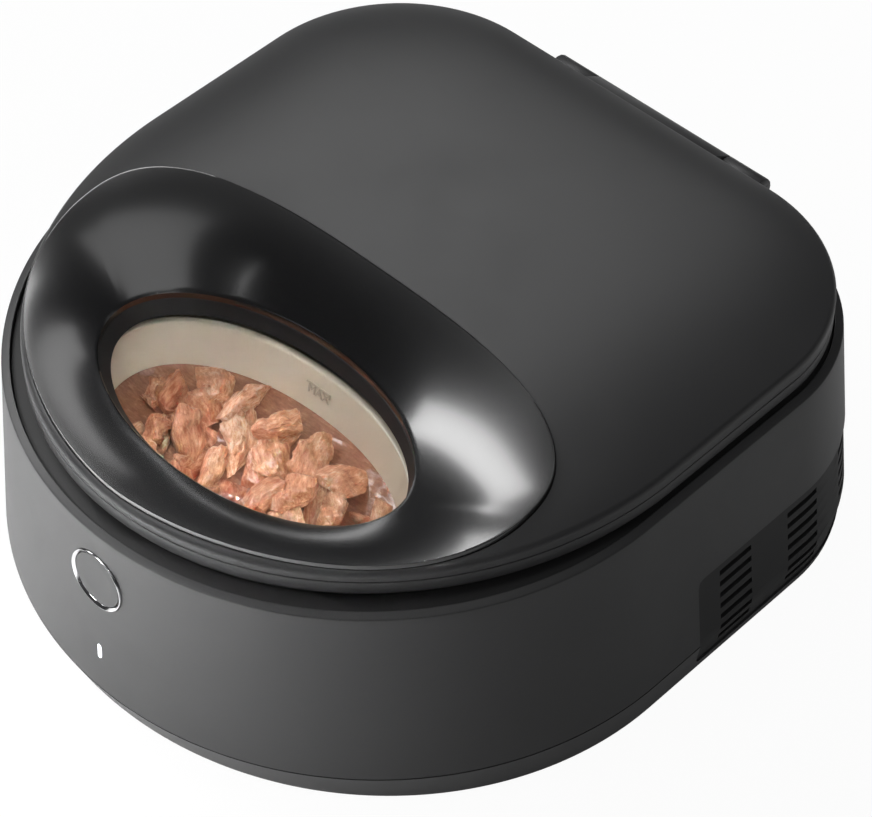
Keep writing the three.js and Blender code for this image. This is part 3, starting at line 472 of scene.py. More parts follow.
def pierced(columns, heights, holes, wrap=True):
    """Domain points (column, height) and quads, with windows closed in to their holes by rings."""
    rows, count = len(heights), len(columns)
    grid_columns, grid_heights = np.meshgrid(columns, heights)
    points = [stack(grid_columns.ravel(), grid_heights.ravel())]
    total = rows * count
    faces = quads(rows, count, False, wrap)
    row_of, column_of = faces[:, 0] // count, faces[:, 0] % count
    keep = np.ones(len(faces), bool)
    extra = []
    for hole in holes:
        (c0, c1), (r0, r1) = hole.columns, hole.rows
        keep &= ~((column_of >= c0) & (column_of < c1) & (row_of >= r0) & (row_of < r1))
        path = window_path(hole)
        previous = path[:, 1] * count + path[:, 0] % count
        edge = stack(np.asarray(columns)[path[:, 0]], np.asarray(heights)[path[:, 1]])
        middle_length, middle_height = along(hole.middle[0]), hole.middle[1]
        turn = np.arctan2(edge[:, 1] - middle_height, along(edge[:, 0]) - middle_length)
        reach = soft_box_reach(turn, *hole.half, hole.radius)
        goal = stack(
            column_at(middle_length + reach * np.cos(turn)), middle_height + reach * np.sin(turn)
        )
        pairs = np.arange(len(path) - 1 if hole.side else len(path))
        following = (pairs + 1) % len(path)
        for share in hole.shares:
            new = np.arange(total, total + len(path))
            points.append(edge + (goal - edge) * share)
            total += len(path)
            extra.append(stack(previous[pairs], previous[following], new[following], new[pairs]))
            previous = new
    return np.concatenate(points), np.concatenate([faces[keep], *extra])


def rim_edges(faces):
    """Edges that only one quad uses, in that quad's order."""
    edges = np.concatenate([stack(faces[:, k], faces[:, (k + 1) % 4]) for k in range(4)])
    edges = edges[edges[:, 0] != edges[:, 1]]
    _, first, counts = np.unique(np.sort(edges, 1), axis=0, return_index=True, return_counts=True)
    return edges[first[counts == 1]]


def walled(domain, faces, outer, inner, open_height=None):
    """A shell: the domain at two insets, joined along its rims save the one at the open height."""
    points = np.concatenate([wall_points(domain[:, 0], domain[:, 1], inset) for inset in (outer, inner)])
    shift = len(domain)
    edges = rim_edges(faces)
    if open_height is not None:
        edges = edges[~np.all(np.abs(domain[edges][:, :, 1] - open_height) < MERGE, axis=1)]
    bridge = stack(edges[:, 1], edges[:, 0], edges[:, 0] + shift, edges[:, 1] + shift)
    return points, np.concatenate([faces, faces[:, ::-1] + shift, bridge])


BUTTON_Z, BEZEL_RADIUS, BEZEL_WIDTH = 82.0, 13.9, 1.4
LIGHT_Z, LIGHT_HALF, LIGHT_REACH = 41.3, 1.0, 3.8
VENT_FRONT, VENT_LOW, VENT_HIGH = 26.0, 7.0, 56.0
VENT_TURN, VENT_CORNER = math.radians(50), 3.0
vent_from = along(FRONT + SIDE * VENT_FRONT / 90.0)
vent_to = along(FRONT + SIDE + CORNER * VENT_TURN / (math.pi / 2))
VENT_MIDDLE = column_at((vent_from + vent_to) / 2)
VENT_HALF = (vent_to - vent_from) / 2
VENT_FRAME = 4.0  # from the plate to the window cut for it in the wall's grid


def row_near(heights, value):
    """Number of the row nearest to a height."""
    return int(np.argmin(np.abs(np.asarray(heights) - value)))


def vent_holes(rows, height, half_high, side):
    """The two vent holes of a wall, the left one mirrored from the right."""
    holes = []
    for middle in (VENT_MIDDLE, 2 * REAR_MIDDLE - VENT_MIDDLE):
        first = math.floor(column_at(along(middle) - VENT_HALF - VENT_FRAME))
        last = math.ceil(column_at(along(middle) + VENT_HALF + VENT_FRAME))
        half = (VENT_HALF + GAP, half_high)
        holes.append(Hole((first, last), rows, (middle, height), half, VENT_CORNER, side))
    return holes


# Housing: where the wall's grid ends, and the button's and the light's windows in it
WALL_LOW, WALL_HIGH, WALL_ROW = SEAM_Z + 0.5, 104.0, 4.0
DECK_Z = 105.4
VENT_ROW, BUTTON_ROWS, LIGHT_ROWS = 60.0, (64.0, 100.0), (32.0, 52.0)
BUTTON_COLUMNS, LIGHT_COLUMNS = 6, 2  # to either side of the middle


def make_housing():
    """Upper wall with button, light and vent windows, then the bevelled ledge and its lip."""
    heights = np.concatenate([[WALL_LOW], np.arange(24.0, WALL_HIGH, WALL_ROW), [WALL_HIGH]])
    vent_rows = (0, row_near(heights, VENT_ROW))
    holes = vent_holes(vent_rows, WALL_LOW, VENT_HIGH + GAP - WALL_LOW, "low")
    for columns, (low, high), height, half, reach in (
        (BUTTON_COLUMNS, BUTTON_ROWS, BUTTON_Z, BEZEL_RADIUS + GAP, BEZEL_RADIUS + GAP),
        (LIGHT_COLUMNS, LIGHT_ROWS, LIGHT_Z, LIGHT_HALF + GAP, LIGHT_REACH + GAP),
    ):
        window = (FRONT_MIDDLE - columns, FRONT_MIDDLE + columns)
        rows = (row_near(heights, low), row_near(heights, high))
        holes.append(Hole(window, rows, (float(FRONT_MIDDLE), height), (half, reach), half - 0.01))
    domain, faces = pierced(np.arange(TURNS, dtype=float), heights, holes)
    shell = walled(domain, faces, 0.0, WALL, WALL_HIGH)
    top = eased(
        [
            wall_station(WALL_HIGH, 0.0),
            station(RIM_PLAN, RIM_Z),
            station(LEDGE_PLAN, LEDGE_Z),
            station(LEDGE_PLAN, DECK_Z),
            wall_station(WALL_HIGH, WALL),
        ],
        [0.55, 0.45, 0],
    )
    return joined([shell, skin(rings(top))])


# Base pan: its grid, floor, foot, inlet hole at the rear and the posts under the board
PAN_LOW, PAN_HIGH, PAN_ROWS = PAN_Z + 2.2, SEAM_Z - SEAM_HALF, (6.0, 9.0, 12.0, 15.5)
PAN_FLOOR, PAN_FOOT, PAN_FOOT_WIDTH = 2.5, 1.9, 12.0
INLET_X, INLET_Z, INLET_RADIUS, INLET_COLUMNS = 60.0, 10.6, 5.3, 5
POST_PLACES = [(x, y) for x in (-125.0, -65.0) for y in (80.0, 116.0)]
POST_RADIUS, POST_HIGH, POST_BEVEL = 3.0, 9.3, 0.4
FLOOR_Z = PAN_Z + PAN_FLOOR


def make_pan():
    """Base pan: tucked wall with vent windows and inlet hole, rounded foot, floor and board posts."""
    heights = np.array([PAN_LOW, *PAN_ROWS, PAN_HIGH])
    holes = vent_holes((1, 5), PAN_HIGH, PAN_HIGH - (VENT_LOW - GAP), "high")
    inlet = column_at(along(REAR_MIDDLE) + INLET_X)
    first = math.floor(inlet) - INLET_COLUMNS // 2
    window = (first, first + INLET_COLUMNS)
    half = (INLET_RADIUS, INLET_RADIUS)
    holes.append(Hole(window, (0, 5), (inlet, INLET_Z), half, INLET_RADIUS - 0.01))
    domain, faces = pierced(np.arange(TURNS, dtype=float), heights, holes)
    shell = walled(domain, faces, 0.0, WALL, PAN_LOW)
    foot = [
        wall_station(PAN_LOW, 0.0),
        station(PAN_PLAN, PAN_Z, 0.2),
        station(PAN_PLAN, PAN_Z, PAN_FOOT_WIDTH),
    ]
    below = rings(eased(foot, [PAN_FOOT], 6))
    floor = rings([wall_station(PAN_LOW, WALL), station(PAN_PLAN, FLOOR_Z, WALL + 1)])
    sheets = []
    for grid, height in ((below, PAN_Z), (floor, FLOOR_Z)):
        shares = np.linspace(1, 0, 9)[:, None, None]
        last = grid[-1][None] * shares + np.array([0, 0, height]) * (1 - shares)
        last[..., 2] = height
        sheets.append(skin(np.concatenate([grid[:-1], last])))
    low, shoulder = FLOOR_Z + 0.05, POST_RADIUS - POST_BEVEL
    post = [(0, low), (POST_RADIUS, low), (POST_RADIUS, POST_HIGH - POST_BEVEL)]
    post += [(shoulder, POST_HIGH), (0, POST_HIGH)]
    posts = [turned(post, 20, (x, y, 0)) for x, y in POST_PLACES]
    return joined([shell, *sheets, *posts])


def turned(profile, count, middle, tilt=None):
    """A profile of (radius, height) turned round Z, then tilted by a matrix and moved to its middle."""
    turn = circle(count)
    radius, height = np.array(profile, float).T[..., None]
    grid = stack(radius * np.cos(turn), radius * np.sin(turn), height)
    if tilt is not None:
        grid = grid @ np.asarray(tilt).T
    return skin(grid + np.asarray(middle))


piece("housing_shell", make_housing(), "base", CHARCOAL, "shell_charcoal", "housing")
piece("base_pan_shell", make_pan(), "base", CHARCOAL, "shell_charcoal", "base_pan")

# Button: a bezel and a cap, turned round an axis that stands square on the front wall
BEZEL_INNER, BEZEL_DEEP, BEZEL_FLOOR = BEZEL_RADIUS - BEZEL_WIDTH, -6, -4.6
CAP_RADIUS, CAP_DISH, CAP_LOW = BEZEL_INNER - GAP, 7.0, -2.7
BEZEL_PROFILE = [
    (0, BEZEL_DEEP),
    (BEZEL_RADIUS, BEZEL_DEEP),
    (BEZEL_RADIUS, 0.35),
    (BEZEL_RADIUS - 0.3, 0.7),
    (BEZEL_INNER, -0.35),
    (BEZEL_INNER, BEZEL_FLOOR),
    (0, BEZEL_FLOOR),
]
CAP_PROFILE = [(0, CAP_LOW), (CAP_RADIUS, CAP_LOW), (CAP_RADIUS, -0.1), (CAP_DISH, -0.2), (0, -0.25)]
ROUND = 96
button_tilt = math.atan((SEAM_PLAN[1] - RIM_PLAN[1]) / (RIM_Z - SEAM_Z))
button_turn = Matrix.Rotation(math.pi / 2 - button_tilt, 3, "X")
button_middle = [0, -wall_station(BUTTON_Z, 0.0)[1], BUTTON_Z]
bezel = turned(softened(BEZEL_PROFILE, 0.2), ROUND, button_middle, button_turn)
cap = turned(softened(CAP_PROFILE, 0.35), ROUND, button_middle, button_turn)
piece("button_bezel", bezel, "base", CHROME, "chrome_ring", "button_ring")
piece("button_cap", cap, "button", CHARCOAL, "shell_charcoal", "power_button")


# Vent grilles: bays and their spacing along the wall, slots and their spacing up it
BAYS, BAY_STEPS, BAY_EDGE, BAY_GAP = 3, 10, 2.0, 1.3
SLOTS, SLOT_PITCH, SLOT_HIGH, SLOT_CORNER, SLOT_EDGE = 7, 6.3, 2.9, 1.2, 2.3
GRILLE_INSET = 0.8


def make_grille(left):
    """Grille plate set back in the wall, with rows of slots in three bays, in the wall's curve."""
    bays = np.linspace(vent_from + BAY_EDGE, vent_to - BAY_EDGE, BAYS + 1)
    within = np.linspace(bays[0], bays[-1], BAYS * BAY_STEPS + 1)
    columns = column_at(np.concatenate([[vent_from], within, [vent_to]]))
    lows = VENT_LOW + SLOT_EDGE + SLOT_PITCH * np.arange(SLOTS + 1)
    heights = np.array([VENT_LOW, *lows, VENT_HIGH])
    half = ((bays[1] - bays[0]) / 2 - BAY_GAP, SLOT_HIGH / 2)
    holes = []
    for row in range(1, SLOTS + 1):
        for bay in range(BAYS):
            first = 1 + bay * BAY_STEPS
            middle = (column_at((bays[bay] + bays[bay + 1]) / 2), heights[row] + SLOT_PITCH / 2)
            window = (first, first + BAY_STEPS)
            holes.append(Hole(window, (row, row + 1), middle, half, SLOT_CORNER, None, (0.85, 1.0)))
    domain, faces = pierced(columns, heights, holes, wrap=False)
    points, faces = walled(domain, faces, GRILLE_INSET, WALL)
    return points * [-1 if left else 1, 1, 1], faces


for word in ("right", "left"):
    grille = make_grille(word == "left")
    piece(f"vent_louvre_{word}", grille, "base", SOFT_BLACK, "soft_black", f"vent_grille_{word}")


# Lid
SIDE_RISE, SIDE_TILT, LID_EDGE = 3.75, 4.0, 2.0
DOME, DOME_POWER = 15.0, 6.0
SCOOP_MID, SCOOP_HALF, SCOOP_REAR, SCOOP_FRONT = -44.5, 123.5, 49.6, 93.2
SCOOP_POWERS = (2.7, 1.82)
SCOOP_PROUD, SCOOP_WALL = 2.5, 3.0
OPEN_HALF, OPEN_DEPTH, OPEN_Y, OPEN_Z = 76.8, 43.1, -65.2, 115.2
SHELL_LOW = LID_SEAM_Z + SEAM_HALF
SMALL_BEVEL = 0.25
SIDE_STEPS, EDGE_STEPS, DOME_STEPS, DOME_CROWDING = 4, 8, 44, 1.3
LIP_DROP, LIP_SHARE, FUNNEL_FIRST = 0.45, 0.008, 0.55


def lid_share(x, y):
    """Share of the way from the waist to the lid's outline: an ellipse ahead, a rounded box behind."""
    half, front, back, corner = LID_PLAN
    x, behind = np.abs(x), y - LID_WAIST
    depth = back - LID_WAIST
    ahead = np.hypot(x / half, behind / (front + LID_WAIST))
    flat = np.maximum(x / half, behind / depth)
    a, b = half - corner, depth - corner
    reach = np.maximum(x * x + behind * behind, 1e-9)
    dot = a * x + b * behind
    root = np.sqrt(np.maximum(dot * dot - reach * (a * a + b * b - corner * corner), 0))
    round_corner = reach / np.maximum(dot + root, 1e-9)
    in_corner = (x > a * round_corner) & (behind > b * round_corner)
    return np.where(behind <= 0, ahead, np.where(in_corner, round_corner, flat))


def edge_height(y):
    """Height of the lid's upper edge, a little higher behind than in front."""
    return LID_SEAM_Z + SIDE_RISE + SIDE_TILT * (y + LID_PLAN[1]) / (LID_PLAN[1] + LID_PLAN[2])


def lid_height(x, y):
    """Height of the lid's dome: the edge's height and a rise of one less the share's sixth power."""
    return edge_height(y) + DOME * (1 - np.clip(lid_share(x, y), 0, 1) ** DOME_POWER)


def scoop_edge(turn, grow=0.0):
    """Rim of the scoop seen from above, two superellipse halves; turn 0 is the middle of its rear edge."""
    side, rearward = np.sin(turn), np.cos(turn)
    power = np.where(rearward < 0, SCOOP_POWERS[1], SCOOP_POWERS[0])
    reach = np.where(rearward < 0, SCOOP_FRONT, SCOOP_REAR) + grow
    x, y = (SCOOP_HALF + grow) * powered(side, 2 / power), reach * powered(rearward, 2 / power)
    return x, SCOOP_MID + y


def lifted(flat, height):
    """Points of a plan at heights."""
    return stack(flat[..., 0], flat[..., 1], height)


def on_dome(flat, drop=0.0):
    """Points of a plan on the lid's dome, or a drop below it."""
    return lifted(flat, lid_height(flat[..., 0], flat[..., 1]) - drop)


def make_lid_shell():
    """Lid shell: an upright side, a quarter round, the dome in to the scoop's pocket, and a lining below.

    Each column runs straight from the lid's outline to the pocket's, seen from above, towards
    the scoop's middle, and takes its height from the dome.
    """
    dense = circle(2880)
    sx, sy = scoop_edge(dense, GAP / 2)
    angle, radius = np.arctan2(sy - SCOOP_MID, sx), np.hypot(sx, sy - SCOOP_MID)
    rim = rings([station(LID_PLAN, 0.0)], LID_WAIST)[0][:, :2]
    turn = np.arctan2(rim[:, 1] - SCOOP_MID, rim[:, 0])
    reach = np.interp(turn, angle, radius, period=TAU)
    path = stack(reach * np.cos(turn), reach * np.sin(turn) + SCOOP_MID) - rim
    length = np.linalg.norm(path, axis=1)

    def inward(share):
        return rim + path * np.broadcast_to(share, length.shape)[:, None]

    side_high = edge_height(rim[:, 1]) - LID_EDGE
    rows = [lifted(rim, SHELL_LOW + SMALL_BEVEL)]
    shares = np.arange(1, SIDE_STEPS) / SIDE_STEPS
    rows += [lifted(rim, SHELL_LOW + (side_high - SHELL_LOW) * share) for share in shares]
    for inset in LID_EDGE * (1 - np.cos(np.linspace(0, math.pi / 2, EDGE_STEPS))):
        drop = LID_EDGE * (1 - math.sqrt(1 - (1 - inset / LID_EDGE) ** 2))
        rows.append(on_dome(inward(np.minimum(inset, 0.8 * length) / length), drop))
    start = np.minimum(LID_EDGE, 0.8 * length) / length
    for share in np.linspace(0, 1, DOME_STEPS)[1:] ** DOME_CROWDING:
        rows.append(on_dome(inward(start + (1 - start) * share)))
    rows[-1][:, 2] -= SMALL_BEVEL
    rows[-2] = on_dome(inward(1 - SMALL_BEVEL / length))
    deep = rows[-1] - [0, 0, WALL]
    lined = np.maximum(1 - (WALL - LID_EDGE) / length, 0.5)
    lining = []
    for share in (0.9, 0.6, 0.3, 0.0):
        under = on_dome(inward(share * lined + (1 - share) * np.minimum(WALL / length, 0.5)), WALL)
        under[:, 2] = np.maximum(under[:, 2], SHELL_LOW + SMALL_BEVEL)
        lining.append(under)
    foot = lifted(lining[-1], SHELL_LOW)
    sole = lifted(inward(SMALL_BEVEL / length), SHELL_LOW)
    return looped([*rows, deep, *lining, foot, sole])


OVAL = circle(288)


def oval(grow, height, shift=0.0, turn=OVAL):
    """The lid's opening grown by an amount, at a height; turn 0 is the middle of its rear edge."""
    x, y = (OPEN_HALF + grow) * np.sin(turn), OPEN_Y + (OPEN_DEPTH + grow) * np.cos(turn)
    return stack(x + shift, y + shift, height)


def make_scoop():
    """Scoop: an upright lip that stands proud of the lid save behind, then a funnel down to the oval."""
    edge = stack(*scoop_edge(OVAL))
    goal = oval(0, 0)[:, :2]
    base = lid_height(edge[:, 0], edge[:, 1])
    top = base + SCOOP_PROUD * (1 - np.maximum(0, np.cos(OVAL)) ** 2)

    def funnel(share, high, drop):
        """A ring a share of the way to the oval, its fall a mix of the share and its square."""
        fall = FUNNEL_FIRST * share + (1 - FUNNEL_FIRST) * share**2
        return lifted(edge + (goal - edge) * share, high + (OPEN_Z - high) * fall - drop)

    rows = [lifted(edge, base - SCOOP_WALL), lifted(edge, base - 0.4)]
    for share in np.concatenate([[0.0, 0.0015, 0.004, LIP_SHARE], np.linspace(0.02, 1, 50)]):
        rows.append(funnel(share, top, LIP_DROP * (1 - min(share / LIP_SHARE, 1)) ** 2))
    rows[-1][:, 2] -= 0.3
    for share in np.linspace(1, 0, 9)[:-1]:
        rows.append(funnel(share, base, SCOOP_WALL))
    return looped(rows)


COLLAR_LOW, COLLAR_HIGH, COLLAR_OUT, COLLAR_LEAN, COLLAR_SHIFT = 106.0, 112.1, 2.6, -3.7, 0.1


def make_collar():
    """Dark seal under the oval: a soft ring whose inner face leans in, most at the front left."""
    run = [
        (COLLAR_LEAN, COLLAR_LOW),
        (-0.15, COLLAR_HIGH),
        (COLLAR_OUT, COLLAR_HIGH),
        (COLLAR_OUT, COLLAR_LOW),
        (COLLAR_LEAN + 0.2, COLLAR_LOW),
    ]
    soft = softened(run, 0.5)
    return looped([oval(grow, height, COLLAR_SHIFT * (COLLAR_HIGH - height)) for grow, height in soft])


BAND_FLOOR_Z, BAND_LIP, BAND_CLEAR = LID_Z + 2.5, 10.0, 10


def make_band():
    """Lid base: side band with rounded edges, floor, and the hole that clears the scoop and collar."""
    high = LID_SEAM_Z - SEAM_HALF
    outer = [
        station(LID_PLAN, LID_Z, BAND_LIP),
        station(LID_PLAN, LID_Z),
        station(LID_PLAN, high),
        station(LID_PLAN, high, WALL),
        station(LID_PLAN, BAND_FLOOR_Z, WALL),
    ]
    grid = rings(eased(outer, [1.0, 0.35, 0.3]), LID_WAIST)
    turn = np.arctan2(grid[0][:, 0], grid[0][:, 1] - OPEN_Y)
    hole = [oval(BAND_CLEAR, height, turn=turn) for height in (BAND_FLOOR_Z, LID_Z)]
    return looped([*grid, *hole])


piece("lid_cover", make_lid_shell(), "lid", CHARCOAL, "shell_charcoal", "lid_shell", sharp=40)
piece("scoop_insert", make_scoop(), "lid", GLOSS_BLACK, "gloss_black", "lid_scoop", sharp=40)
piece("collar_seal", make_collar(), "lid", RUBBER, "gasket_rubber", "opening_collar")
piece("lid_band", make_band(), "lid", CHARCOAL, "shell_charcoal", "lid_base")


# Bowls
BOWL_HALF, BOWL_DEPTH, BOWL_POWER, BOWL_DISTANCE = 76.0, 44.0, 2.1, 70.0
BOWL_RIM_Z, BOWL_LOW_Z, BOWL_TAPER, BOWL_FOOT = 101.0, 54.8, 7.0, 14.0
BOWL_WALL, BOWL_RIM, BOWL_RIM_HIGH, BOWL_ROUND = 2.4, 3.6, 2.2, 0.9
BOWL_KNEE_Z = BOWL_LOW_Z + 9.0
BOWL_CORNER, BOWL_MIDDLE = 4, -20  # past the foot, where the floor starts to round and where it ends


def bowl_plan(turn, half, depth):
    """Superellipse of the bowl's power about its own middle."""
    power = 2 / BOWL_POWER
    return half * powered(np.cos(turn), power), depth * powered(np.sin(turn), power)


def bowl_row(grow, height, count=180):
    """Superellipse of the bowl's inner rim grown by an amount, at a height."""
    turn = circle(count)
    x, y = bowl_plan(turn, BOWL_HALF + grow, BOWL_DEPTH + grow)
    return stack(x, y - BOWL_DISTANCE, height)


def make_bowl(turn):
    """Bowl: rounded foot, drafted wall, turned rim and a rounded inside, turned to its place."""
    foot, floor_z = -BOWL_FOOT - BOWL_TAPER, BOWL_LOW_Z + BOWL_WALL
    run = [
        (BOWL_WALL + foot + BOWL_MIDDLE, BOWL_LOW_Z),
        (BOWL_WALL + foot + BOWL_CORNER, BOWL_LOW_Z),
        (BOWL_WALL - BOWL_TAPER, BOWL_KNEE_Z),
        (BOWL_WALL, BOWL_RIM_Z - BOWL_RIM_HIGH),
        (BOWL_RIM, BOWL_RIM_Z - BOWL_RIM_HIGH),
        (BOWL_RIM, BOWL_RIM_Z),
        (0.0, BOWL_RIM_Z),
        (-BOWL_TAPER, BOWL_KNEE_Z),
        (foot + BOWL_CORNER, floor_z),
        (foot + BOWL_MIDDLE, floor_z),
    ]
    rows = [bowl_row(grow, height) for grow, height in softened(run, BOWL_ROUND, 5)]
    points, faces = capped(np.array(rows))
    c, s = math.cos(turn), math.sin(turn)
    return points @ np.array([[c, s, 0], [-s, c, 0], [0, 0, 1]]), faces


for k, word in enumerate(("front", "right", "left")):
    piece(f"bowl_{word}_shell", make_bowl(k * TAU / 3), "tray", CREAM, "bowl_cream", f"bowl_{word}")


# Fill mark in relief on the rear wall of the front bowl: a word, a line over it and the line's end
MARK_TEXT, MARK_SIZE, MARK_PROUD, MARK_X, MARK_Z = "MAX", 5.4, 0.42, -3.0, 88.0
LINE_FROM, LINE_TO, LINE_LOW, LINE_HIGH = -6.8, 6.4, 5.2, 5.9
LINE_END, LINE_END_LOW = 5.7, 3.4


def bowl_wall(x, z):
    """How far back the front bowl's inner wall stands at a place across it and a height."""
    grow = -BOWL_TAPER * (BOWL_RIM_Z - z) / (BOWL_RIM_Z - BOWL_KNEE_Z)
    across = np.clip(np.abs(x) / (BOWL_HALF + grow), 0, 1)
    return (BOWL_DEPTH + grow) * (1 - across**BOWL_POWER) ** (1 / BOWL_POWER) - BOWL_DISTANCE


def lettering(text, size, depth):
    """Points and faces of raised letters in millimetres, x along the line and y up."""
    curve = bpy.data.curves.new("letters", "FONT")
    curve.body = text
    curve.size = size
    curve.extrude = depth
    curve.bevel_depth = 0.08
    curve.resolution_u = 4
    curve.align_x, curve.align_y = "CENTER", "BOTTOM"
    thing = linked("letters", curve)
    bpy.context.view_layer.update()
    shape = bpy.data.meshes.new_from_object(thing.evaluated_get(bpy.context.evaluated_depsgraph_get()))
    points = np.empty(len(shape.vertices) * 3)
    shape.vertices.foreach_get("co", points)
    faces = [list(face.vertices) for face in shape.polygons]
    bpy.data.objects.remove(thing)
    bpy.data.curves.remove(curve)
    bpy.data.meshes.remove(shape)
    return points.reshape(-1, 3), faces


def bar(x0, x1, y0, y1, depth, steps=12):
    """Points and faces of a flat bar with sloped edges, as long rows of quads."""
    middle, slope = (y0 + y1) / 2, 0.1
    profile = [(y0, -depth), (y0 + slope, depth), (middle, depth + 0.03), (y1 - slope, depth), (y1, -depth)]
    points, faces = skin(np.array([[(x, y, z) for y, z in profile] for x in np.linspace(x0, x1, steps)]))
    count = len(profile)
    ends = [list(range(count))[::-1], list(range((steps - 1) * count, steps * count))]
    return points, [list(f) for f in faces] + ends


def make_fill_mark():
    """The word and the line over it, wrapped on the wall: x along it, y up it, z out of it."""
    points, faces, start = [], [], 0
    for some, their_faces in (
        lettering(MARK_TEXT, MARK_SIZE, MARK_PROUD),
        bar(LINE_FROM, LINE_TO, LINE_LOW, LINE_HIGH, MARK_PROUD),
        bar(LINE_END, LINE_TO, LINE_END_LOW, LINE_HIGH, MARK_PROUD, 3),
    ):
        points.append(some)
        faces += [[start + k for k in face] for face in their_faces]
        start += len(some)
    flat = np.concatenate(points)
    x, z = flat[:, 0] + MARK_X, flat[:, 1] + MARK_Z
    return stack(x, bowl_wall(x, z) - flat[:, 2], z), faces


# The fill mark takes the darker cream, which is painted shade on its relief
piece("fill_mark", make_fill_mark(), "tray", SHADED_MARK_CREAM, "bowl_cream")


# Food: flakes of meat in jelly
FOOD_Z, FOOD_GAP, FOOD_WALL = 81.0, 0.4, 3.4
PILE_HALF, PILE_DEPTH, PILE_X = 65, 33, 2
GRID_HALF, GRID_DEPTH = 71, 43
FLAKE_LAYERS = ((17.0, 15.0, -3.4), (19.0, 16.5, 0.8))  # spacing along and across, and lift
FLAKE_RIDGES = ((2, 0.12), (3, 0.12), (6, 0.06), (11, 0.04), (17, 0.03))  # sines round it, height
FLAKE_LUMPS = ((0.45, 0.7), (0.95, 0.45), (1.7, 0.25), (2.9, 0.13))  # sines to the millimetre, height
FLAKE_BOXY, FLAKE_PLANES, FLAKE_PRESS, FLAKE_YAW = 0.85, 7, 0.92, 2.25
JELLY_INSET, JELLY_DROP, JELLY_CLIMB = 3.7, 2.6, 2.2


def food_material(name, dark, middle, light, wet, film_roughness):
    """Cooked meat: three tones along its fibres and from flake to flake, with a wet film in patches."""
    material, tree, shader, place = blank_material(name)
    own = tree.nodes.new("ShaderNodeAttribute")
    own.attribute_name = "own_place"
    tone = tree.nodes.new("ShaderNodeAttribute")
    tone.attribute_name = "tone"
    stretch = add_node(tree, "Mapping", Vector=own.outputs["Vector"], Scale=(0.22, 1.0, 1.0))
    fibres = noise(tree, stretch.outputs["Vector"], 900.0, 5.0, 0.65, 0.4)
    blotches = noise(tree, own.outputs["Vector"], 160.0, 4.0, 0.6)
    share = math_node(tree, "MULTIPLY_ADD", fibres, 0.75, math_node(tree, "MULTIPLY", blotches, 0.65))
    share = math_node(tree, "ADD", share, math_node(tree, "MULTIPLY", tone.outputs["Fac"], 0.35))
    lower = mix_node(tree, range_node(tree, share, 0.50, 0.86), dark, middle)
    relief = math_node(tree, "ADD", fibres, math_node(tree, "MULTIPLY", blotches, 0.6))
    set_inputs(
        shader,
        Base_Color=mix_node(tree, range_node(tree, share, 0.76, 1.02), lower, light),
        Roughness=range_node(tree, fibres, 0.3, 0.7, 0.58, 0.40),
        Coat_Weight=range_node(tree, noise(tree, place, 130.0, 3.0), 0.42, 0.58, 0.0, wet),
        Coat_Roughness=film_roughness,
        Subsurface_Weight=0.25,
        Subsurface_Scale=0.004,
        Subsurface_Radius=(1.0, 0.35, 0.2),
    )
    bump(tree, shader, relief, 0.9, 0.0008)
    return material


MEAT = food_material("flaked_meat", (0.40, 0.12, 0.05), (0.80, 0.43, 0.26), (0.93, 0.72, 0.55), 0.9, 0.10)
JELLY = food_material("meat_jelly", (0.26, 0.10, 0.055), (0.40, 0.19, 0.11), (0.52, 0.29, 0.18), 1.0, 0.04)


def within_bowl(points):
    """Points drawn back to a little inside the bowl's inner wall where they pass it."""
    inset = FOOD_WALL + FOOD_GAP
    x, y, z = points[..., 0], points[..., 1] + BOWL_DISTANCE, points[..., 2]
    pull = 1 / np.maximum(np.hypot(x / (BOWL_HALF - inset), y / (BOWL_DEPTH - inset)), 1)
    return stack(x * pull, y * pull - BOWL_DISTANCE, z)


def flake_places(random):
    """Middles of the flakes: a jittered staggered grid over the food's ellipse, in two layers."""
    places = []
    for layer, (step_x, step_y, lift) in enumerate(FLAKE_LAYERS):
        across = np.arange(1 - GRID_DEPTH, GRID_DEPTH, step_y)
        x, y = np.meshgrid(np.arange(1 - GRID_HALF, GRID_HALF, step_x), across)
        x = x + step_x / 2 * (np.arange(len(y))[:, None] % 2) + layer * step_x / 3
        spots = stack(x.ravel(), y.ravel()) + random.uniform(-3.2, 3.2, (x.size, 2))
        spots = spots[np.hypot((spots[:, 0] - PILE_X) / PILE_HALF, spots[:, 1] / PILE_DEPTH) < 1]
        lifts = FOOD_Z + lift + random.uniform(-1.4, 1.4, len(spots))
        places.append(stack(spots[:, 0], spots[:, 1] - BOWL_DISTANCE, lifts))
    return np.concatenate(places)


def turned_by(first, second, turn):
    """Two coordinates turned from the first towards the second."""
    return first * np.cos(turn) - second * np.sin(turn), first * np.sin(turn) + second * np.cos(turn)


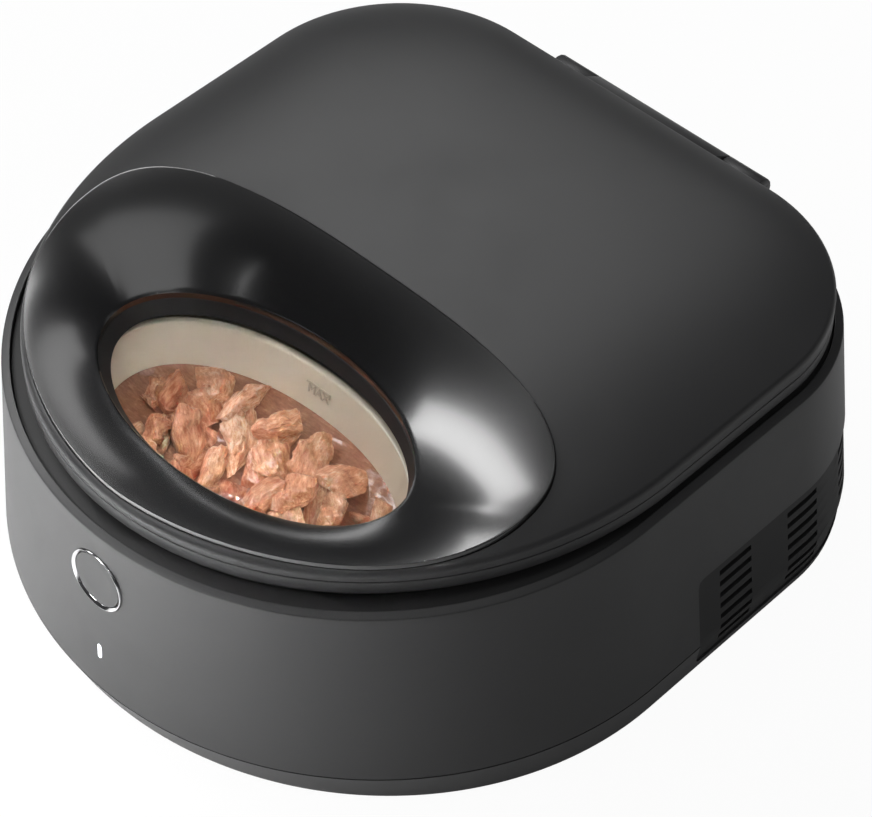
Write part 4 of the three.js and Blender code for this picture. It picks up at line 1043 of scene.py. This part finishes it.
def make_flakes(seed=11, rows=26, columns=44):
    """Flakes: long superellipsoids with ridges along them, lumps, a taper and a bend, turned and strewn.

    The poles lie on the long axis. The radius is one plus a few sines round it that drift along
    it, and the lumps are sines of the place. Seven planes then press each flake flat in places:
    what stands out past a plane is moved back to it.
    """
    random = np.random.default_rng(seed)
    middles = flake_places(random)
    count = len(middles)

    def each(low, high):
        return random.uniform(low, high, count)[:, None, None]

    v = np.linspace(-math.pi / 2, math.pi / 2, rows)[None, :, None]
    u = circle(columns)[None, None, :]
    long, wide, thick = each(9.5, 16.0), each(5.4, 8.8), each(3.2, 5.2)
    end = powered(np.sin(v), each(0.7, 1.1))
    girth = np.abs(np.cos(v)) ** each(0.25, 0.55)
    ridge = 1.0
    for lines, height in FLAKE_RIDGES:
        ridge = ridge + height * np.sin(lines * u + each(0, TAU) + each(-0.9, 0.9) * end)
    radius = girth * ridge * (1 + each(-0.45, 0.45) * end)
    x = long * end + 0 * u
    y = wide * radius * powered(np.cos(u), FLAKE_BOXY)
    z = thick * radius * powered(np.sin(u), FLAKE_BOXY)
    for scale, height in FLAKE_LUMPS:
        phase = each(0, TAU)
        x = x + height * np.sin(scale * (y - z) + phase) * girth
        y = y + height * np.sin(scale * (x + z) + 2 * phase) * girth
        z = z + height * np.sin(scale * (x - y) + 3 * phase) * girth
    own = stack(x, y, z)
    for _ in range(FLAKE_PLANES):
        way = random.normal(size=(count, 1, 1, 3)) * (0.5, 1.0, 1.0)
        way = way / np.linalg.norm(way, axis=-1, keepdims=True)
        height = (own * way).sum(-1)
        reach = height.max(axis=(1, 2), keepdims=True)
        past = np.maximum(height - each(0.5, 0.8) * reach, 0)
        own = own - FLAKE_PRESS * past[..., None] * way
    x, y, z = own[..., 0], own[..., 1] + each(-2.2, 2.2) * end**2, own[..., 2]
    yaw, pitch, roll = each(-0.75, 0.75) + FLAKE_YAW, each(-0.42, 0.42), each(-0.7, 0.7)
    y, z = turned_by(y, z, roll)
    z, x = turned_by(z, x, pitch)
    x, y = turned_by(x, y, yaw)
    points = within_bowl(stack(x, y, z) + middles[:, None, None, :])
    shift = random.uniform(0, 90, (count, 1, 1, 3))
    tone = np.broadcast_to(each(-0.35, 0.35), points.shape[:3])
    return joined([skin(grid) for grid in points]), (own + shift).reshape(-1, 3) * MM, tone.ravel()


def make_jelly(rows=70, columns=150):
    """Jelly round the flakes: the bowl's inside up from its floor, and a waved top, higher at the wall."""
    turn = circle(columns)
    top = np.array(bowl_plan(turn, BOWL_HALF - JELLY_INSET, BOWL_DEPTH - JELLY_INSET))
    grid = [
        bowl_row(-BOWL_FOOT - BOWL_TAPER, BOWL_LOW_Z + 2.8, columns),
        bowl_row(-BOWL_TAPER - 0.8, BOWL_KNEE_Z, columns),
        bowl_row(-JELLY_INSET - 0.2, FOOD_Z - 3, columns),
    ]
    for share in np.linspace(1, 0.02, rows):
        x, y = top * share
        wave = 0.8 * np.sin(0.31 * x + 0.23 * y) + 0.6 * np.sin(0.47 * y - 0.19 * x + 1.0)
        wave = wave + 0.35 * np.sin(0.9 * x + 1.7) * np.sin(0.8 * y)
        height = FOOD_Z - JELLY_DROP + wave * (1 - share**4) + JELLY_CLIMB * share**14
        grid.append(stack(x, y - BOWL_DISTANCE, height))
    points, faces = capped(np.array(grid))
    return (points, faces), points * MM, np.zeros(len(points))


for word, material, nodes, (food, own_place, tone) in (
    ("flakes", MEAT, (), make_flakes()),
    ("jelly", JELLY, ("food_portion",), make_jelly()),
):
    marks = {"own_place": own_place, "tone": tone}
    piece(f"meat_{word}", food, "tray", material, "wet_food", *nodes, sharp=60, **marks)


# CAD pieces that stay: finish and softened edges
FINE_EDGE, PLAIN_EDGE = 0.15, 0.35
FINE_NODES = ("control_board", "status_light", "power_inlet", "hinge_pin")


def dress(node, material):
    """Gives a CAD piece its finish, and rounds its edges by weld and bevel."""
    thing = NODES[node]
    thing.data.materials.clear()
    thing.data.materials.append(material)
    thing.data.polygons.foreach_set("use_smooth", np.ones(len(thing.data.polygons), bool))
    weld = thing.modifiers.new("weld", "WELD")
    weld.merge_threshold = 10 * MERGE
    edge = thing.modifiers.new("edge", "BEVEL")
    edge.width = (FINE_EDGE if node in FINE_NODES else PLAIN_EDGE) * MM
    edge.segments = 2
    edge.limit_method = "ANGLE"
    edge.angle_limit = math.radians(35)
    edge.harden_normals = True


FINISHES = {
    SOFT_BLACK: "deck_ring spindle_post fan_frame fan_rotor shutter shutter_motor power_inlet",
    RUBBER: "foot_front_left foot_front_right foot_rear_left foot_rear_right lid_gasket",
    CHARCOAL: "hinge_ear_left hinge_ear_right lid_knuckle",
    PALE_GREY: "chamber_tub bowl_carrier lid_lining",
    FOAM: "insulation",
    ALUMINIUM: "cold_block heat_sink",
    CERAMIC: "peltier_module",
    STEEL: "gear_motor hinge_pin",
    ACETAL: "drive_gear motor_pinion",
    BOARD: "control_board",
    LIT_LENS: "status_light",
}
for material, names in FINISHES.items():
    for name in names.split():
        dress(name, material)


# Floor, light and camera
FLOOR_SIZE = 12  # metres
FLOOR_SEEN, FLOOR_MIRRORED = 0.96, 0.05  # shares of white that the camera and reflections see


def floor_material():
    """Pale floor: white to the camera, with a little of its own shaded colour so that shadows stay."""
    material, tree, shader, _ = blank_material("pale_floor")
    set_inputs(shader, Base_Color=(0.86, 0.86, 0.86, 1), Roughness=0.9)
    glow = add_node(tree, "Emission", Color=(1, 1, 1, 1), Strength=1.0)
    rays = tree.nodes.new("ShaderNodeLightPath").outputs
    seen = math_node(tree, "MAXIMUM", rays["Is Camera Ray"], rays["Is Transmission Ray"])
    mirrored = math_node(tree, "MULTIPLY", rays["Is Glossy Ray"], FLOOR_MIRRORED)
    share = math_node(tree, "MAXIMUM", math_node(tree, "MULTIPLY", seen, FLOOR_SEEN), mirrored)
    blend = add_node(tree, "MixShader", Fac=share)
    feed(blend.inputs[1], shader.outputs["BSDF"])
    feed(blend.inputs[2], glow.outputs["Emission"])
    feed(tree.nodes["Material Output"].inputs["Surface"], blend.outputs["Shader"])
    return material


bpy.ops.mesh.primitive_plane_add(size=FLOOR_SIZE)
floor = bpy.context.object
floor.name = "floor"
floor.data.materials.append(floor_material())


def lamp(name, turn, rise, far, size, power, goal=(0, 0, 0.08), spread=180, roll=0):
    """An area lamp at a turn from +X, a rise and a distance, facing its goal; degrees, metres, watts."""
    data = bpy.data.lights.new(name, "AREA")
    data.shape = "RECTANGLE"
    data.size, data.size_y = size
    data.energy = power
    data.spread = math.radians(spread)
    thing = linked(name, data)
    turn, rise = math.radians(turn), math.radians(rise)
    flat = far * math.cos(rise)
    thing.location = (flat * math.cos(turn), flat * math.sin(turn), far * math.sin(rise) + goal[2])
    facing = (Vector(goal) - thing.location).to_track_quat("-Z", "Y")
    thing.rotation_mode = "QUATERNION"
    thing.rotation_quaternion = facing @ Quaternion((0, 0, 1), math.radians(roll))


lamp("key_soft", -172, 40, 1.6, (1.15, 0.38), 12.5, roll=-38)
lamp("rear_panel", 117, 33, 1.6, (0.5, 0.4), 1.2)
lamp("lid_panel", 140, 46, 1.7, (0.5, 0.35), 4.0)
lamp("floor_pool", -104, 42, 0.95, (0.35, 0.35), 8.5, (-0.14, -0.60, 0.0), 70)
lamp("top_soft", -90, 86, 1.8, (1.2, 1.2), 5.4)
lamp("front_fill", -36, 46, 1.7, (0.8, 0.8), 2.2)
lamp("rear_fill", 50, 35, 1.7, (1.0, 0.7), 0.6)
lamp("bowl_fill", -30, 52, 1.3, (0.08, 0.08), 0.032, (0.0, -0.083, 0.09), 6)

world = bpy.data.worlds.new("studio")
world.use_nodes = True
set_inputs(world.node_tree.nodes["Background"], Color=(0.30, 0.30, 0.31, 1), Strength=0.15)
scene = bpy.context.scene
scene.world = world
scene.view_settings.view_transform = "Standard"

# Camera: round from the front to the right, up from the floor, and off; it looks past the
# carrier's axis by a step to its right and up
CAMERA_TURN, CAMERA_RISE, CAMERA_FAR = math.radians(44.11), math.radians(46.93), 1217.9
AIM_Z, AIM_RIGHT, AIM_UP = 57.29, 25.24, 3.765
flat = math.cos(CAMERA_RISE)
back = Vector((math.sin(CAMERA_TURN) * flat, -math.cos(CAMERA_TURN) * flat, math.sin(CAMERA_RISE)))
right = Vector((math.cos(CAMERA_TURN), math.sin(CAMERA_TURN), 0))
aim = Vector((0, AXIS_Y, AIM_Z)) + AIM_RIGHT * right + AIM_UP * back.cross(right)
lens = bpy.data.cameras.new("camera")
lens.sensor_width = 36.0
lens.lens = 121.91
lens.clip_start = 0.05
camera = linked("camera", lens)
camera.location = (aim + back * CAMERA_FAR) * MM
camera.rotation_mode = "QUATERNION"
camera.rotation_quaternion = back.to_track_quat("Z", "Y")
scene.camera = camera
